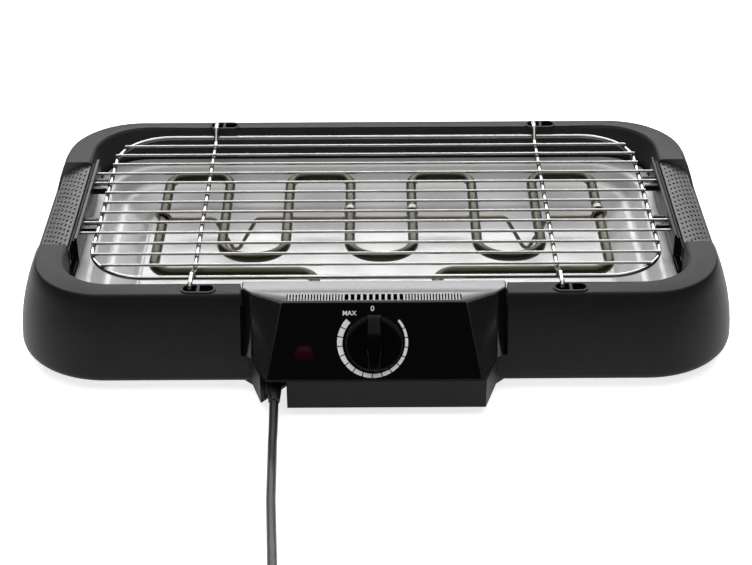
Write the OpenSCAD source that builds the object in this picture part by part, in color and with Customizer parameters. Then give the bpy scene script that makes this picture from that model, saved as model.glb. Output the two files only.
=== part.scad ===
// Electric table grill: plastic frame, drip tray, heating unit with control box, wire rack.
// Millimetres, +Z up. X runs along the grill, -Y is the side with the knob.
// The origin is the middle of the bounding box (without the mains cord), on the table.

/* [Frame] */
// Overall width of the frame's top face
frame_w = 502; // [470:1:540]
// Depth of the frame's top face, front to back
frame_d = 278; // [265:1:300]
// Height of the frame's top face above the table
frame_h = 74; // [72:1:80]
// Corner radius of the frame's top face
frame_corner_r = 56; // [50:1:60]
// How far the wall leans out between the top and the bottom edge
wall_lean = 14; // [4:1:18]
// Wall thickness of the frame's plastic
wall_t = 2.5; // [2:0.1:3]
// Width of the top face along the front
front_rail = 16; // [15:0.5:18]
// Width of the top face along the back
rear_rail = 12.5; // [12:0.5:16]
// Width of the top face along the sides
side_rail = 21.5; // [20:0.5:26]
// Corner radius of the frame's inside edge
inner_corner_r = 40; // [34:1:44]
// Depth of the tray ledge below the top face
ledge_drop = 28; // [27:0.5:30]
// Width of the tray ledge
ledge_w = 7; // [6:0.5:9]
// Height of the rubber feet
foot_h = 8; // [6:0.5:10]
// Radius of a rubber foot
foot_r = 8; // [7:0.5:9]
// Radius of a rubber foot's stem
foot_stem_r = 2.5; // [2:0.1:3]

/* [Handle gaps] */
// Length of the gap in each side of the frame that holds a handle
grip_gap_l = 132; // [120:1:140]
// Depth of that gap below the top face
grip_gap_drop = 24; // [20:1:26]

/* [Tray] */
// Sheet thickness of the tray
tray_t = 0.8; // [0.6:0.1:1]
// Width of the tray's flat rim
tray_rim_w = 9; // [8:0.5:10]
// Depth of the tray's basin
tray_depth = 29; // [24:1:30]
// Horizontal run of the basin's sloping wall
tray_slope_run = 30; // [24:1:34]
// Corner radius of the basin's upper edge
basin_corner_r = 46; // [40:1:50]

/* [Rack] */
// Length of the rack's outline, left to right, on the wire's centre
rack_w = 422; // [410:1:424]
// Depth of the rack's outline, front to back, on the wire's centre
rack_d = 225; // [220:1:228]
// Corner radius of the rack's outline
rack_corner_r = 42; // [34:1:44]
// How far the rack's middle lies behind the frame's middle
rack_shift = 7.5; // [5:0.5:8]
// Distance from the rack's front wire to the first bar
bar_front_gap = 13.5; // [12:0.5:15]
// Diameter of the outline and cross wires
rack_wire_d = 3.5; // [3:0.1:4]
// Diameter of a thin bar
bar_d = 2.2; // [1.8:0.1:2.6]
// Distance from bar to bar
bar_pitch = 15.9; // [15:0.1:16]
// Distance between the two cross wires
cross_gap = 265; // [250:1:280]
// How far the top of the bars lies below the frame's top face
rack_drop = 2; // [1:0.5:4]

/* [Rack sockets] */
// Length of a two-step socket
socket_l = 22; // [20:0.5:24]
// Width of a socket
socket_w = 8.4; // [7.5:0.1:9]
// Depth of a socket's deep cavity
socket_deep = 15; // [13:0.5:18]
// Depth of a socket's shallow cavity
socket_shallow = 6; // [4:0.5:8]
// Width of the rib between the two cavities
socket_rib = 2; // [1.5:0.1:3]
// Height of the bead around a socket
socket_bead = 0.8; // [0.5:0.1:1.2]

/* [Handles] */
// Height of the handle's outer edge below its inner edge
handle_fall = 8; // [5:0.5:12]
// Wall thickness of a handle
handle_t = 2.6; // [2:0.1:3]
// Length of a handle's cross arms
arm_l = 12; // [8:0.5:14]

/* [Heating element] */
// Diameter of the heating tube
tube_d = 8; // [7.6:0.1:8.2]
// Distance from leg to leg
leg_pitch = 49; // [46:0.5:50]
// How far the element's middle lies right of the frame's middle
heater_shift = 4.4; // [0:0.1:6]
// Height of the tube's centre above the tray's ledge
heater_rise = 6.5; // [6.5:0.5:8]
// Radius of the bends at the back
arch_r = 15; // [12:0.5:20]
// Radius of the bends at the front
loop_r = 22; // [18:0.5:23]
// Diameter of the support wire
support_d = 3; // [2.5:0.1:3.5]

/* [Control box] */
// How far the box's middle lies left of the frame's middle
box_offset = 1.5; // [0:0.1:4]
// Width of the box where it fills the gap in the frame
box_w = 189; // [180:1:200]
// Width of the panel's top edge
panel_top_w = 132; // [120:1:140]
// Width of the panel's bottom edge
panel_low_w = 152; // [144:1:160]
// How far the panel's top edge stands in front of the frame's top face
panel_out = 8; // [6:0.5:12]
// Angle of the panel from upright
panel_tilt = 40; // [34:1:42]
// Height of the panel's bottom edge above the table
seam_z = 30.5; // [29:0.5:33]
// Wall thickness of the box
box_t = 2.2; // [1.8:0.1:2.6]
// Clearance between the box and the frame
box_clear = 0.6; // [0.4:0.1:1]

/* [Knob] */
// Radius of the knob's skirt
knob_r = 20; // [17:0.5:21]
// Height of the knob
knob_h = 17; // [15:0.5:20]
// Height of the knob's skirt
knob_skirt_h = 5; // [4:0.5:7]
// Distance of the knob's axis below the middle of the panel
knob_drop = 2; // [0:0.5:5]
// Width of the finger grip
grip_w = 12.6; // [10:0.2:14]
// Radius of the thermostat's spindle
spindle_r = 3; // [2.5:0.1:3.5]

/* [Cord] */
// Diameter of the mains cord
cord_d = 6.5; // [6:0.1:7.5]
// Mean radius of the coil of spare cord
coil_r = 36; // [33:1:39]

/* [Hidden] */
$fn = 48;

// ---- Frame, derived ----
half_w = frame_w / 2;
half_d = frame_d / 2;
in_x = half_w - side_rail;
in_front = -half_d + front_rail;
in_back = half_d - rear_rail;
ledge_z = frame_h - ledge_drop;
deck_z = frame_h - wall_t;
crease_r = 2.5;
hem_r = 6;
low_lean = lean_at(foot_h + hem_r);
low_r = frame_corner_r + low_lean;
wall_steps = 6;
wall_z = [for (i = [1:wall_steps]) foot_h + hem_r + i * (frame_h - 2 * crease_r - foot_h - hem_r) / wall_steps];
corner_x = half_w - frame_corner_r;
corner_y = half_d - frame_corner_r;
boss_r = 5.5;
boss_inset = 9.5;
boss_x = corner_x + (frame_corner_r - boss_inset) * cos(45);
boss_y = corner_y + (frame_corner_r - boss_inset) * sin(45);
stem_l = 10;
stem_clear = 0.1;

// ---- Tray and handle gaps, derived ----
tray_gap = 3.4;
tray_x = in_x - tray_gap;
tray_front = in_front + tray_gap;
tray_back = in_back - tray_gap;
tray_r = inner_corner_r - tray_gap;
floor_z = ledge_z - tray_depth;
gap_half = grip_gap_l / 2;
gap_z = frame_h - grip_gap_drop;

// ---- Rack, derived ----
bar_z = frame_h - rack_drop - bar_d / 2;
wire_z = bar_z - bar_d / 2 - rack_wire_d / 2;
rack_x = rack_w / 2;
rack_front = rack_shift - rack_d / 2;
rack_back = rack_shift + rack_d / 2;
cross_x = cross_gap / 2;
socket_y = half_d - 8.6;
socket_x = (socket_l + socket_rib) / 4;
bar_count = 13;
bar_tail = 1.5;
plate_over = 32;
held_bars = [4, 8];
long_bars = [3, 4, 8, 9];
arm_spread = 7;
lip_x = in_x - 0.5;
plate_x = lip_x - 6;
plate_t = 2;
grip_clear = 0.8;
handle_sink = 2.5;
arms_mid_y = (bar_y(held_bars[0]) + bar_y(held_bars[1])) / 2;

// ---- Heating element, derived ----
heater_z = ledge_z + heater_rise;
leg_y_back = 80;
leg_y_front = -50;
run_y = -72;
end_x = 45;
bush_r = 5.2;
bush_l = 10;
shield_over = 20;
shield_t = 1;
shield_drop = 8;
terminal_l = 20;
tab_l = 12;
support_y = 20;
support_x = 3.5 * leg_pitch + 3;
support_z = heater_z - tube_d / 2 - support_d / 2;

// ---- Control box, derived ----
box_half = box_w / 2;
box_back = in_front + tray_gap - box_clear;
panel_top_y = -half_d - panel_out;
panel_h = frame_h - seam_z;
panel_low_y = panel_top_y - panel_h * tan(panel_tilt);
panel_l = panel_h / cos(panel_tilt);
panel_y = (panel_top_y + panel_low_y) / 2;
panel_z = (frame_h + seam_z) / 2;
knob_y = panel_y - knob_drop * sin(panel_tilt);
knob_z = panel_z - knob_drop * cos(panel_tilt);
fascia_t = 1.6;
fascia_edge = 1.5;
shoulder = 7;
apron_out = 2.5;
apron_shoulder_y = -half_d - lean_at(seam_z) - 3.5;
top_shoulder_y = -half_d + 2.5;
apron_floor_z = foot_h + wall_t;
box_floor_z = apron_floor_z + 0.3;
box_inset = wall_t + box_clear;
vent_pitch = 2.15;
vent_wide = 10;
vent_narrow = 19;
vent_edge = 0.9;
vent_l = 8;
post_r = 4;
post_z = seam_z + 2;
screw_r = 1.4;
head_r = 3.2;
seat_h = 8;
screw_l = 20;
notch_side = -63;
notch_back = -155;
notch_run = [37, 44];
knob_lift = 0.6;
bush_hole_r = 5.2;
spindle_clear = 0.06;
lamp_x = -49;
lamp_drop = 8;
lamp_w = 14;
lamp_d = 11;
relief_x = -70.5;
relief_y = -172;
relief_z = 20;
relief_tilt = 20;
relief_l = 15;
relief_in = 14;
relief_r = 5;

// ---- Cord: route of the tube, from the sleeve to the coil ----
cord_lie = cord_d / 2;
cord_start = [relief_x - box_offset, relief_y - relief_l * cos(relief_tilt), relief_z - relief_l * sin(relief_tilt)];
cord_route = [cord_start, [-72, -189.9, 13.5], [-72, -197, 9.8], [-72, -206, 5.4], [-72, -218, cord_lie],
    [-71.5, -232, cord_lie], [-71, -248, cord_lie], [-70.5, -264, cord_lie], [-70, -280, cord_lie],
    [-69, -296, cord_lie], [-68, -312, cord_lie], [-67, -328, cord_lie], [-66, -344, cord_lie],
    [-65, -360, cord_lie], [-64.4, -376, cord_lie], [-64, -392, cord_lie], [-64, -403, cord_lie]];
coil_w = 3.5 * cord_d;
coil_h = 2 * cord_d;
coil_out = coil_r + 1.3125 * cord_d;
coil_x = cord_route[len(cord_route) - 1][0] + coil_out;
coil_y = -416;
plug_r = 17;
plug_l = 38;
plug_tail = 22;
pin_gap = 19;
pin_r = 2.4;
pin_l = 19;
plug_x = coil_x + 24;
plug_y = coil_y - coil_out;

// ---- The box's middle lies on the origin ----
knob_reach = (knob_h + knob_lift) * cos(panel_tilt) + knob_r * sin(panel_tilt);
origin_y = -(half_d + low_lean + knob_y - knob_reach) / 2;

// How far the frame's outer wall swells out at height z: fast below the top face, upright at the foot
function lean_at(z) = wall_lean * (1 - pow((z - foot_h) / (frame_h - foot_h), 2));

// Position of bar number i along Y, counted from the front
function bar_y(i) = rack_front + bar_front_gap + i * bar_pitch;

// Half length of bar i, which ends just past the rack's outline
function bar_half(i) =
    let (d = min(bar_y(i) - rack_front, rack_back - bar_y(i)), r = rack_corner_r)
    rack_x + bar_tail + (d < r ? sqrt(r * r - (r - d) * (r - d)) - r : 0);

module placed() {
    translate([0, origin_y, 0]) children();
}

// A rectangle with round corners, from four circles and two squares
module round_rect(x0, x1, y0, y1, r) {
    for (x = [x0 + r, x1 - r], y = [y0 + r, y1 - r]) translate([x, y]) circle(r);
    translate([x0 + r, y0]) square([x1 - x0 - 2 * r, y1 - y0]);
    translate([x0, y0 + r]) square([x1 - x0, y1 - y0 - 2 * r]);
}

// Carries a wall section round a rectangle with round corners. The section's x counts from
// the corner's centre.
module ring_wall(cx, cy) {
    for (q = [0:3]) {
        sx = (q == 0 || q == 3) ? 1 : -1;
        sy = q < 2 ? 1 : -1;
        translate([sx * cx, sy * cy, 0]) rotate([0, 0, 90 * q]) rotate_extrude(angle = 90) children();
    }
    for (s = [-1, 1]) {
        translate([s * cx, s * cy, 0]) rotate([90, 0, s > 0 ? 0 : 180]) linear_extrude(2 * cy) children();
        translate([-s * cx, s * cy, 0]) rotate([90, 0, s > 0 ? 90 : -90]) linear_extrude(2 * cx) children();
    }
}

// A rod along points in the XY plane, with a bend radius at each inner point
module bent_rod(p, bends, d) {
    n = len(p);
    cut = [for (i = [0:n - 1]) i == 0 || i == n - 1 ? 0 : bends[i] * tan(turn_at(p, i) / 2)];
    for (i = [0:n - 2]) {
        u = unit2(p[i + 1] - p[i]);
        a = p[i] + cut[i] * u;
        l = norm(p[i + 1] - p[i]) - cut[i] - cut[i + 1];
        if (l > 0.001)
            translate([a[0], a[1], 0]) rotate([0, 90, atan2(u[1], u[0])]) cylinder(d = d, h = l);
    }
    for (i = [1:n - 2]) {
        u = unit2(p[i] - p[i - 1]);
        v = unit2(p[i + 1] - p[i]);
        side = u[0] * v[1] - u[1] * v[0] > 0 ? 1 : -1;
        centre = p[i] - cut[i] * u + side * bends[i] * [-u[1], u[0]];
        from = side > 0 ? -[-u[1], u[0]] : [-v[1], v[0]];
        translate([centre[0], centre[1], 0]) rotate([0, 0, atan2(from[1], from[0])])
            rotate_extrude(angle = turn_at(p, i)) translate([bends[i], 0]) circle(d = d);
    }
}

function unit2(v) = v / norm(v);
function turn_at(p, i) = acos(min(1, max(-1, unit2(p[i] - p[i - 1]) * unit2(p[i + 1] - p[i]))));

// ---- Frame ----
// Section of the outer wall: rolled hem, swelling wall, soft crease
module skin_section() {
    top_r = frame_corner_r;
    hem = [for (a = [-90:22.5:0]) [low_r - hem_r + hem_r * cos(a), foot_h + hem_r + hem_r * sin(a)]];
    crease = [for (a = [30:20:90]) [top_r - crease_r + crease_r * cos(a), frame_h - crease_r + crease_r * sin(a)]];
    polygon(concat(hem, [for (z = wall_z) [top_r + lean_at(z), z]], crease,
        [[top_r - crease_r, deck_z], [top_r - wall_t, deck_z]],
        [for (i = [wall_steps - 1:-1:0]) [top_r + lean_at(wall_z[i]) - wall_t, wall_z[i]]],
        [[low_r - wall_t, foot_h + hem_r], [low_r - hem_r, foot_h + wall_t]]));
}

// Outline of the box and of the apron below it, seen from above
function box_outline(front_half, front_y, shoulder_y, grow) =
    let (x = box_half + grow, s = [[x, shoulder_y + shoulder], [x - shoulder, shoulder_y - grow],
        [front_half + grow, front_y - grow]])
    concat(s, [for (i = [2:-1:0]) [-s[i][0], s[i][1]]]);

function apron_outline(grow) =
    box_outline(panel_low_w / 2 + apron_out, panel_low_y, apron_shoulder_y, grow);

// Corner that is left out for the cord, in front of a slanting wall
module notch_plan() {
    polygon([[notch_side, notch_back], [notch_side - notch_run[0], notch_back - notch_run[1]],
        [notch_side, notch_back - notch_run[1]]]);
}

module apron_plan(grow, back_y) {
    o = apron_outline(grow);
    translate([-box_offset, 0]) polygon(concat([[-o[0][0], back_y], [o[0][0], back_y]], o));
}

// End wall of a cut rail, across the rail, from its low edge to the top face
module rail_end(rail, low_z) {
    edge = [for (z = wall_z) if (z > low_z + 1) [lean_at(z) - 0.4, z]];
    polygon(concat([[-rail, low_z], [lean_at(low_z) - 0.4, low_z]], edge,
        [[-0.4, frame_h - crease_r], [-crease_r, frame_h], [-rail, frame_h]]));
}

module socket_plan(grow) {
    r = socket_w / 2 + grow;
    x = (socket_l - socket_w) / 2;
    for (s = [-1, 1]) translate([s * x, 0]) circle(r);
    translate([-x, -r]) square([2 * x, 2 * r]);
}

module socket_body() {
    translate([0, 0, frame_h - socket_deep - wall_t]) linear_extrude(socket_deep + wall_t + socket_bead)
        socket_plan(1.6);
}

module socket_cavities() {
    for (s = [-1, 1]) {
        depth = s < 0 ? socket_deep : socket_shallow;
        translate([0, 0, frame_h - depth]) linear_extrude(depth + 2) intersection() {
            socket_plan(0);
            translate([s < 0 ? -socket_l : socket_rib / 2, -socket_w]) square([socket_l - socket_rib / 2, 2 * socket_w]);
        }
    }
}

module at_sockets() {
    for (x = [-cross_x, cross_x], y = [-socket_y, socket_y]) translate([x + socket_x, y, 0]) children();
}

module at_feet() {
    for (x = [-boss_x, boss_x], y = [-boss_y, boss_y]) translate([x, y, 0]) children();
}

module deck_plan() {
    difference() {
        round_rect(-half_w + crease_r, half_w - crease_r, -half_d + crease_r, half_d - crease_r,
            frame_corner_r - crease_r);
        round_rect(-in_x, in_x, in_front, in_back, inner_corner_r);
    }
}

// Frame plastic before the gaps are cut
module frame_solid() {
    ring_wall(corner_x, corner_y) skin_section();
    translate([0, 0, deck_z]) linear_extrude(wall_t) deck_plan();
    translate([0, 0, ledge_z - wall_t]) linear_extrude(frame_h - wall_t - ledge_z + wall_t) difference() {
        round_rect(-in_x - wall_t, in_x + wall_t, in_front - wall_t, in_back + wall_t, inner_corner_r + wall_t);
        round_rect(-in_x, in_x, in_front, in_back, inner_corner_r);
    }
    translate([0, 0, ledge_z - wall_t]) linear_extrude(wall_t) difference() {
        round_rect(-in_x - 0.5, in_x + 0.5, in_front - 0.5, in_back + 0.5, inner_corner_r + 0.5);
        round_rect(-in_x + ledge_w, in_x - ledge_w, in_front + ledge_w, in_back - ledge_w,
            inner_corner_r - ledge_w);
    }
    at_sockets() socket_body();
    at_feet() translate([0, 0, foot_h]) cylinder(r = boss_r, h = deck_z - foot_h);
}

module frame() {
    wide = box_half + box_clear;
    back = box_back + box_clear;
    color("#26272a") placed() {
        difference() {
            frame_solid();
            translate([-box_offset - wide, -2 * half_d, seam_z]) cube([2 * wide, 2 * half_d + back, frame_h]);
            translate([0, 0, apron_floor_z]) linear_extrude(frame_h) apron_plan(-wall_t, back);
            for (s = [-1, 1]) translate([s * half_w - (half_w - in_x + 2), -gap_half, gap_z])
                cube([2 * (half_w - in_x + 2), grip_gap_l, frame_h]);
            at_sockets() socket_cavities();
            at_feet() translate([0, 0, foot_h - 1]) cylinder(r = foot_stem_r + stem_clear, h = stem_l + 2);
        }
        // Pocket and apron that carry the control box
        difference() {
            translate([0, 0, foot_h]) linear_extrude(seam_z - foot_h) apron_plan(0, back + wall_t);
            translate([0, 0, apron_floor_z]) linear_extrude(frame_h) apron_plan(-wall_t, back);
            translate([0, 0, foot_h - 1]) linear_extrude(frame_h) notch_plan();
        }
        translate([-box_offset - box_half, back, foot_h]) cube([box_w, wall_t, ledge_z - foot_h]);
        for (s = [-1, 1]) {
            // Ends of the front rail beside the box
            translate([-box_offset + s * wide - (s < 0 ? wall_t : 0), 0, 0]) rotate([90, 0, 90])
                linear_extrude(wall_t) translate([-half_d, 0]) mirror([1, 0]) rail_end(front_rail, foot_h + hem_r);
            // Floor and ends of the gap that holds a handle
            translate([s * half_w, 0, 0]) mirror([s < 0 ? 1 : 0, 0]) {
                translate([-side_rail - wall_t, -gap_half, gap_z - wall_t])
                    cube([side_rail + wall_t + lean_at(gap_z) - 0.4, grip_gap_l, wall_t]);
                for (y = [-gap_half, gap_half + wall_t]) translate([0, y, 0]) rotate([90, 0, 0])
                    linear_extrude(wall_t) rail_end(side_rail, gap_z - wall_t);
            }
        }
    }
}

module foot(x, y) {
    color("#1b1b1b") placed() translate([x, y, 0]) {
        cylinder(r = foot_r, h = foot_h);
        cylinder(r = foot_stem_r, h = foot_h + stem_l);
    }
}

// ---- Tray ----
module tray() {
    x = tray_x - tray_rim_w;
    y0 = tray_front + tray_rim_w;
    y1 = tray_back - tray_rim_w;
    r = basin_corner_r;
    run = tray_slope_run;
    low = floor_z;
    color("#c9ccce") placed() {
        translate([0, 0, ledge_z]) linear_extrude(tray_t) difference() {
            round_rect(-tray_x, tray_x, tray_front, tray_back, tray_r);
            round_rect(-x, x, y0, y1, r);
        }
        translate([0, (y0 + y1) / 2, 0]) ring_wall(x - r, (y1 - y0) / 2 - r) polygon([[r, ledge_z], [r, ledge_z + tray_t],
            [r - 0.6, ledge_z + tray_t], [r - run, low + tray_t], [r - run, low]]);
        translate([0, 0, low]) linear_extrude(tray_t)
            round_rect(-x + run, x - run, y0 + run, y1 - run, r - run);
    }
}

// ---- Heating element ----
// Position of the tube's leg number i along X, counted from the left
function leg_x(i) = heater_shift + (i - 3.5) * leg_pitch;

// The tube's route runs from one end to the other, with a bend radius at each point
module heater_tube() {
    loops = [for (i = [0:3]) each [
        [leg_x(2 * i), i == 0 ? run_y : leg_y_front], [leg_x(2 * i), leg_y_back],
        [leg_x(2 * i + 1), leg_y_back], [leg_x(2 * i + 1), i == 3 ? run_y : leg_y_front]]];
    front_bends = [for (i = [0:3]) each [i == 0 ? arch_r : loop_r, arch_r, arch_r, i == 3 ? arch_r : loop_r]];
    end_y = box_back + box_t;
    color("#5d5a47") placed() translate([0, 0, heater_z]) bent_rod(
        concat([[-end_x, end_y], [-end_x, run_y]], loops, [[end_x, run_y], [end_x, end_y]]),
        concat([0, arch_r], front_bends, [arch_r, 0]), tube_d);
}

module heater_support() {
    foot_z = floor_z + tray_t + support_d / 2 + 0.3;
    z = support_z;
    dip = 17;
    feet = [leg_x(1) + 7, leg_x(6) - 7];
    route = concat([[heater_shift - support_x, z]],
        [for (x = feet) each [[x - dip, z], [x, foot_z], [x + dip, z]]], [[heater_shift + support_x, z]]);
    bends = [0, 5, 4, 5, 5, 4, 5, 0];
    color("#8a7d6c") placed() swept_tube(
        [for (q = round_path(route, bends, 4)) [q[0], support_y, q[1]]], support_d, 12, [0, 1, 0]);
}

// Steel strap round a leg of the tube, closed round the support wire below it
module clip(leg) {
    r = tube_d / 2;
    w = 5;
    t = 0.8;
    color("#c8c8c4") placed() translate([leg_x(leg), support_y, heater_z]) rotate([90, 0, 0])
        translate([0, 0, -support_d / 2 - 0.3 - w]) linear_extrude(w) difference() {
            union() {
                circle(r + t);
                translate([-2, -r - support_d - t]) square([4, support_d + t]);
            }
            circle(r);
        }
}

module bush(s) {
    color("#d9d6cc") placed() translate([s * end_x, box_back, heater_z]) rotate([-90, 0, 0]) difference() {
        cylinder(r = bush_r, h = bush_l);
        translate([0, 0, -1]) cylinder(d = tube_d + 0.1, h = bush_l + 2);
    }
}

module terminal(s) {
    color("#b9b9b4") placed() translate([s * end_x, box_back + box_t, heater_z]) rotate([90, 0, 0]) {
        cylinder(r = 1.6, h = tab_l);
        translate([-3, -0.4, terminal_l - tab_l]) cube([6, 0.8, tab_l]);
    }
}

// Folded steel plate between the tube's ends and the plastic box
module heat_shield() {
    low = ledge_z + tray_t + 0.6;
    color("#b4b6b8") placed() translate([0, box_back, 0]) difference() {
        translate([-end_x - shield_over, 0, low])
            cube([2 * (end_x + shield_over), shield_t, frame_h - shield_drop - low]);
        for (s = [-1, 1]) translate([s * end_x, -1, heater_z]) rotate([-90, 0, 0])
            cylinder(r = bush_r + 0.1, h = 4);
    }
}

// ---- Control box ----
// Cuts off what lies ahead of the plane through p, q and r, or within depth behind it.
// Seen from ahead, p, q and r run anticlockwise.
module ahead_of(p, q, r, depth) {
    n = unit2(cross(q - p, r - p));
    reach = 2 * box_w;
    translate(p) rotate([0, acos(n[2]), atan2(n[1], n[0])]) translate([-reach / 2, -reach / 2, -depth])
        cube(reach);
}

// Outer or inner skin of the upper shell: inset is its depth behind the sides and the top,
// and panel_inset its depth behind the panel
module shell_solid(inset, panel_inset, low_z, high_z) {
    half = box_half - inset;
    shoulder_low = [box_half - shoulder, apron_shoulder_y, seam_z];
    shoulder_high = [box_half - shoulder, top_shoulder_y, frame_h];
    front_low = [panel_low_w / 2, panel_low_y, seam_z];
    front_high = [panel_top_w / 2, panel_top_y, frame_h];
    difference() {
        translate([-half, panel_low_y - 10, low_z])
            cube([2 * half, box_back - inset - panel_low_y + 10, high_z - low_z]);
        ahead_of(front_low, front_high, front_high - [10, 0, 0], panel_inset);
        for (s = [0, 1]) mirror([s, 0]) {
            ahead_of(front_low, shoulder_high, front_high, inset);
            ahead_of(front_low, shoulder_low, shoulder_high, inset);
            ahead_of(shoulder_low, shoulder_low + [shoulder, shoulder, 0], shoulder_high, inset);
        }
    }
}

// Places things on the panel: +Z out of it, +Y up it, from its middle
module on_panel() {
    translate([-box_offset, panel_y, panel_z]) rotate([90 - panel_tilt, 0, 0]) children();
}

module fascia_plan(shrink) {
    y = panel_l / 2 - fascia_edge;
    low = panel_low_w / 2 - shrink;
    high = panel_top_w / 2 - shrink;
    polygon([[-low, -y], [low, -y], [high, y], [-high, y]]);
}

module lamp_plan(grow) {
    r = lamp_d / 2 + grow;
    x = (lamp_w - lamp_d) / 2;
    translate([lamp_x, -lamp_drop]) {
        for (s = [-1, 1]) translate([s * x, 0]) circle(r);
        translate([-x, -r]) square([2 * x, 2 * r]);
    }
}

// Openings for the thermostat's bush and the lamp, through the panel
module panel_holes() {
    translate([0, -knob_drop, -30]) cylinder(r = bush_hole_r, h = 40);
    translate([0, 0, -30]) linear_extrude(40) lamp_plan(0.2);
}

function screw_at(i) = [i % 2 == 0 ? -58 : 58, box_back - (i < 2 ? 10 : 26)];

module at_screws() {
    for (i = [0:3]) translate(screw_at(i)) children();
}

module box_upper() {
    color("#2a2b2d") placed() {
        difference() {
            translate([-box_offset, 0, 0]) difference() {
                shell_solid(0, 0, seam_z, frame_h);
                shell_solid(box_t, box_t + fascia_t, seam_z - 1, frame_h - box_t);
                // Vents along the front of the top face: wide slots in the middle, narrow ones beside them
                for (i = [0:vent_wide - 1])
                    translate([(i - vent_wide / 2) * 2 * vent_pitch + 0.8, panel_top_y + vent_edge, frame_h - 5])
                        cube([2 * vent_pitch - 1.6, vent_l, 10]);
                for (s = [-1, 1], i = [0:vent_narrow - 1])
                    translate([s * (vent_wide + i + 0.5) * vent_pitch - 0.5, panel_top_y + vent_edge, frame_h - 5])
                        cube([1, vent_l, 10]);
            }
            on_panel() translate([0, 0, -fascia_t]) linear_extrude(20) fascia_plan(fascia_edge - 0.2);
            on_panel() panel_holes();
            for (s = [-1, 1]) translate([s * end_x, box_back + 2, heater_z]) rotate([90, 0, 0])
                cylinder(d = tube_d + 0.4, h = 6);
        }
        // Screw posts, cut off where the sloping panel passes them
        translate([-box_offset, 0, 0]) difference() {
            intersection() {
                shell_solid(box_t / 2, fascia_t + box_t / 2, post_z, frame_h - box_t / 2);
                at_screws() translate([0, 0, post_z]) cylinder(r = post_r, h = frame_h);
            }
            at_screws() translate([0, 0, post_z - 1]) cylinder(r = screw_r, h = screw_l);
        }
    }
}

module box_lower() {
    color("#232426") placed() difference() {
        union() {
            difference() {
                translate([0, 0, box_floor_z]) linear_extrude(seam_z - box_floor_z)
                    apron_plan(-box_inset, box_back);
                translate([0, 0, box_floor_z - 1]) linear_extrude(seam_z - box_t - box_floor_z + 1)
                    offset(r = box_clear) notch_plan();
                translate([0, 0, box_floor_z + box_t]) linear_extrude(seam_z) difference() {
                    apron_plan(-box_inset - box_t, box_back - box_t);
                    offset(r = box_clear + box_t) notch_plan();
                }
            }
            translate([-box_offset, 0, box_floor_z]) at_screws() cylinder(r = post_r, h = post_z - box_floor_z);
        }
        translate([-box_offset, 0, box_floor_z - 1]) at_screws() {
            cylinder(r = head_r + 0.2, h = seat_h + 1);
            cylinder(r = screw_r + 0.4, h = frame_h);
        }
        relief_axis() translate([0, 0, -30]) cylinder(r = relief_r + 0.2, h = 60);
    }
}

module fascia() {
    color("#0b0b0d") placed() on_panel() difference() {
        translate([0, 0, -fascia_t]) linear_extrude(fascia_t) fascia_plan(fascia_edge);
        panel_holes();
    }
}

// Switch body behind the panel, with a bush through it and a bore for the knob's spindle
module thermostat() {
    back = -box_t - fascia_t - 0.1;
    color("#9a8f7a") placed() on_panel() translate([0, -knob_drop, 0]) difference() {
        union() {
            translate([-15, -12, back - 14]) cube([30, 24, 14]);
            translate([0, 0, back]) cylinder(r = bush_hole_r - 0.2, h = -back + 4);
        }
        translate([0, 0, back - 10]) cylinder(r = spindle_r + spindle_clear, h = 20);
    }
}

module spindle_nut() {
    color("#c2c3c4") placed() on_panel() translate([0, -knob_drop, 0]) difference() {
        cylinder(r = 8, h = 2.2, $fn = 6);
        translate([0, 0, -1]) cylinder(r = bush_hole_r - 0.2, h = 5);
    }
}

// Finger grip seen from the front: straight sides that narrow towards both ends
module grip_plan() {
    w = grip_w / 2;
    intersection() {
        circle(knob_r - 0.6);
        polygon([[-w * 0.64, -knob_r], [w * 0.64, -knob_r], [w, -1], [w * 0.98, 6], [w * 0.8, knob_r],
            [-w * 0.8, knob_r], [-w * 0.98, 6], [-w, -1]]);
    }
}

module knob() {
    color("#151517") placed() on_panel() translate([0, -knob_drop, knob_lift]) {
        difference() {
            union() {
                cylinder(r = knob_r, h = knob_skirt_h);
                linear_extrude(knob_h) grip_plan();
            }
            translate([0, 0, -1]) cylinder(r = 9, h = 5.4);
        }
        translate([0, 0, -box_t - fascia_t - knob_lift - 8])
            cylinder(r = spindle_r, h = box_t + fascia_t + knob_lift + 14);
    }
}

module lamp_lens() {
    color("#6a0d12") placed() on_panel() translate([0, 0, -fascia_t - box_t]) linear_extrude(fascia_t + box_t + 1.2)
        lamp_plan(0);
}

module lamp_body() {
    color("#b8bcc0") placed() on_panel() translate([lamp_x, -lamp_drop, -fascia_t - box_t - 16])
        cylinder(r = 4.5, h = 16);
}

module terminal_block() {
    color("#e4e0d2") placed() translate([-box_offset - 30, box_back - 30, box_floor_z + box_t]) difference() {
        cube([26, 16, 12]);
        for (i = [0:2]) translate([5 + 8 * i, 8, 6]) cylinder(r = 1.8, h = 10);
    }
}

module screw(i) {
    color("#9b9da0") placed() translate([screw_at(i)[0] - box_offset, screw_at(i)[1], box_floor_z]) {
        translate([0, 0, seat_h - 2.2]) difference() {
            cylinder(r = head_r, h = 2.2);
            translate([-2.4, -0.4, -1]) cube([4.8, 0.8, 2]);
        }
        translate([0, 0, seat_h]) cylinder(r = screw_r, h = screw_l);
    }
}

// ---- Mains cord ----
module relief_axis() {
    translate([relief_x - box_offset, relief_y, relief_z]) rotate([90 + relief_tilt, 0, 0]) children();
}

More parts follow.
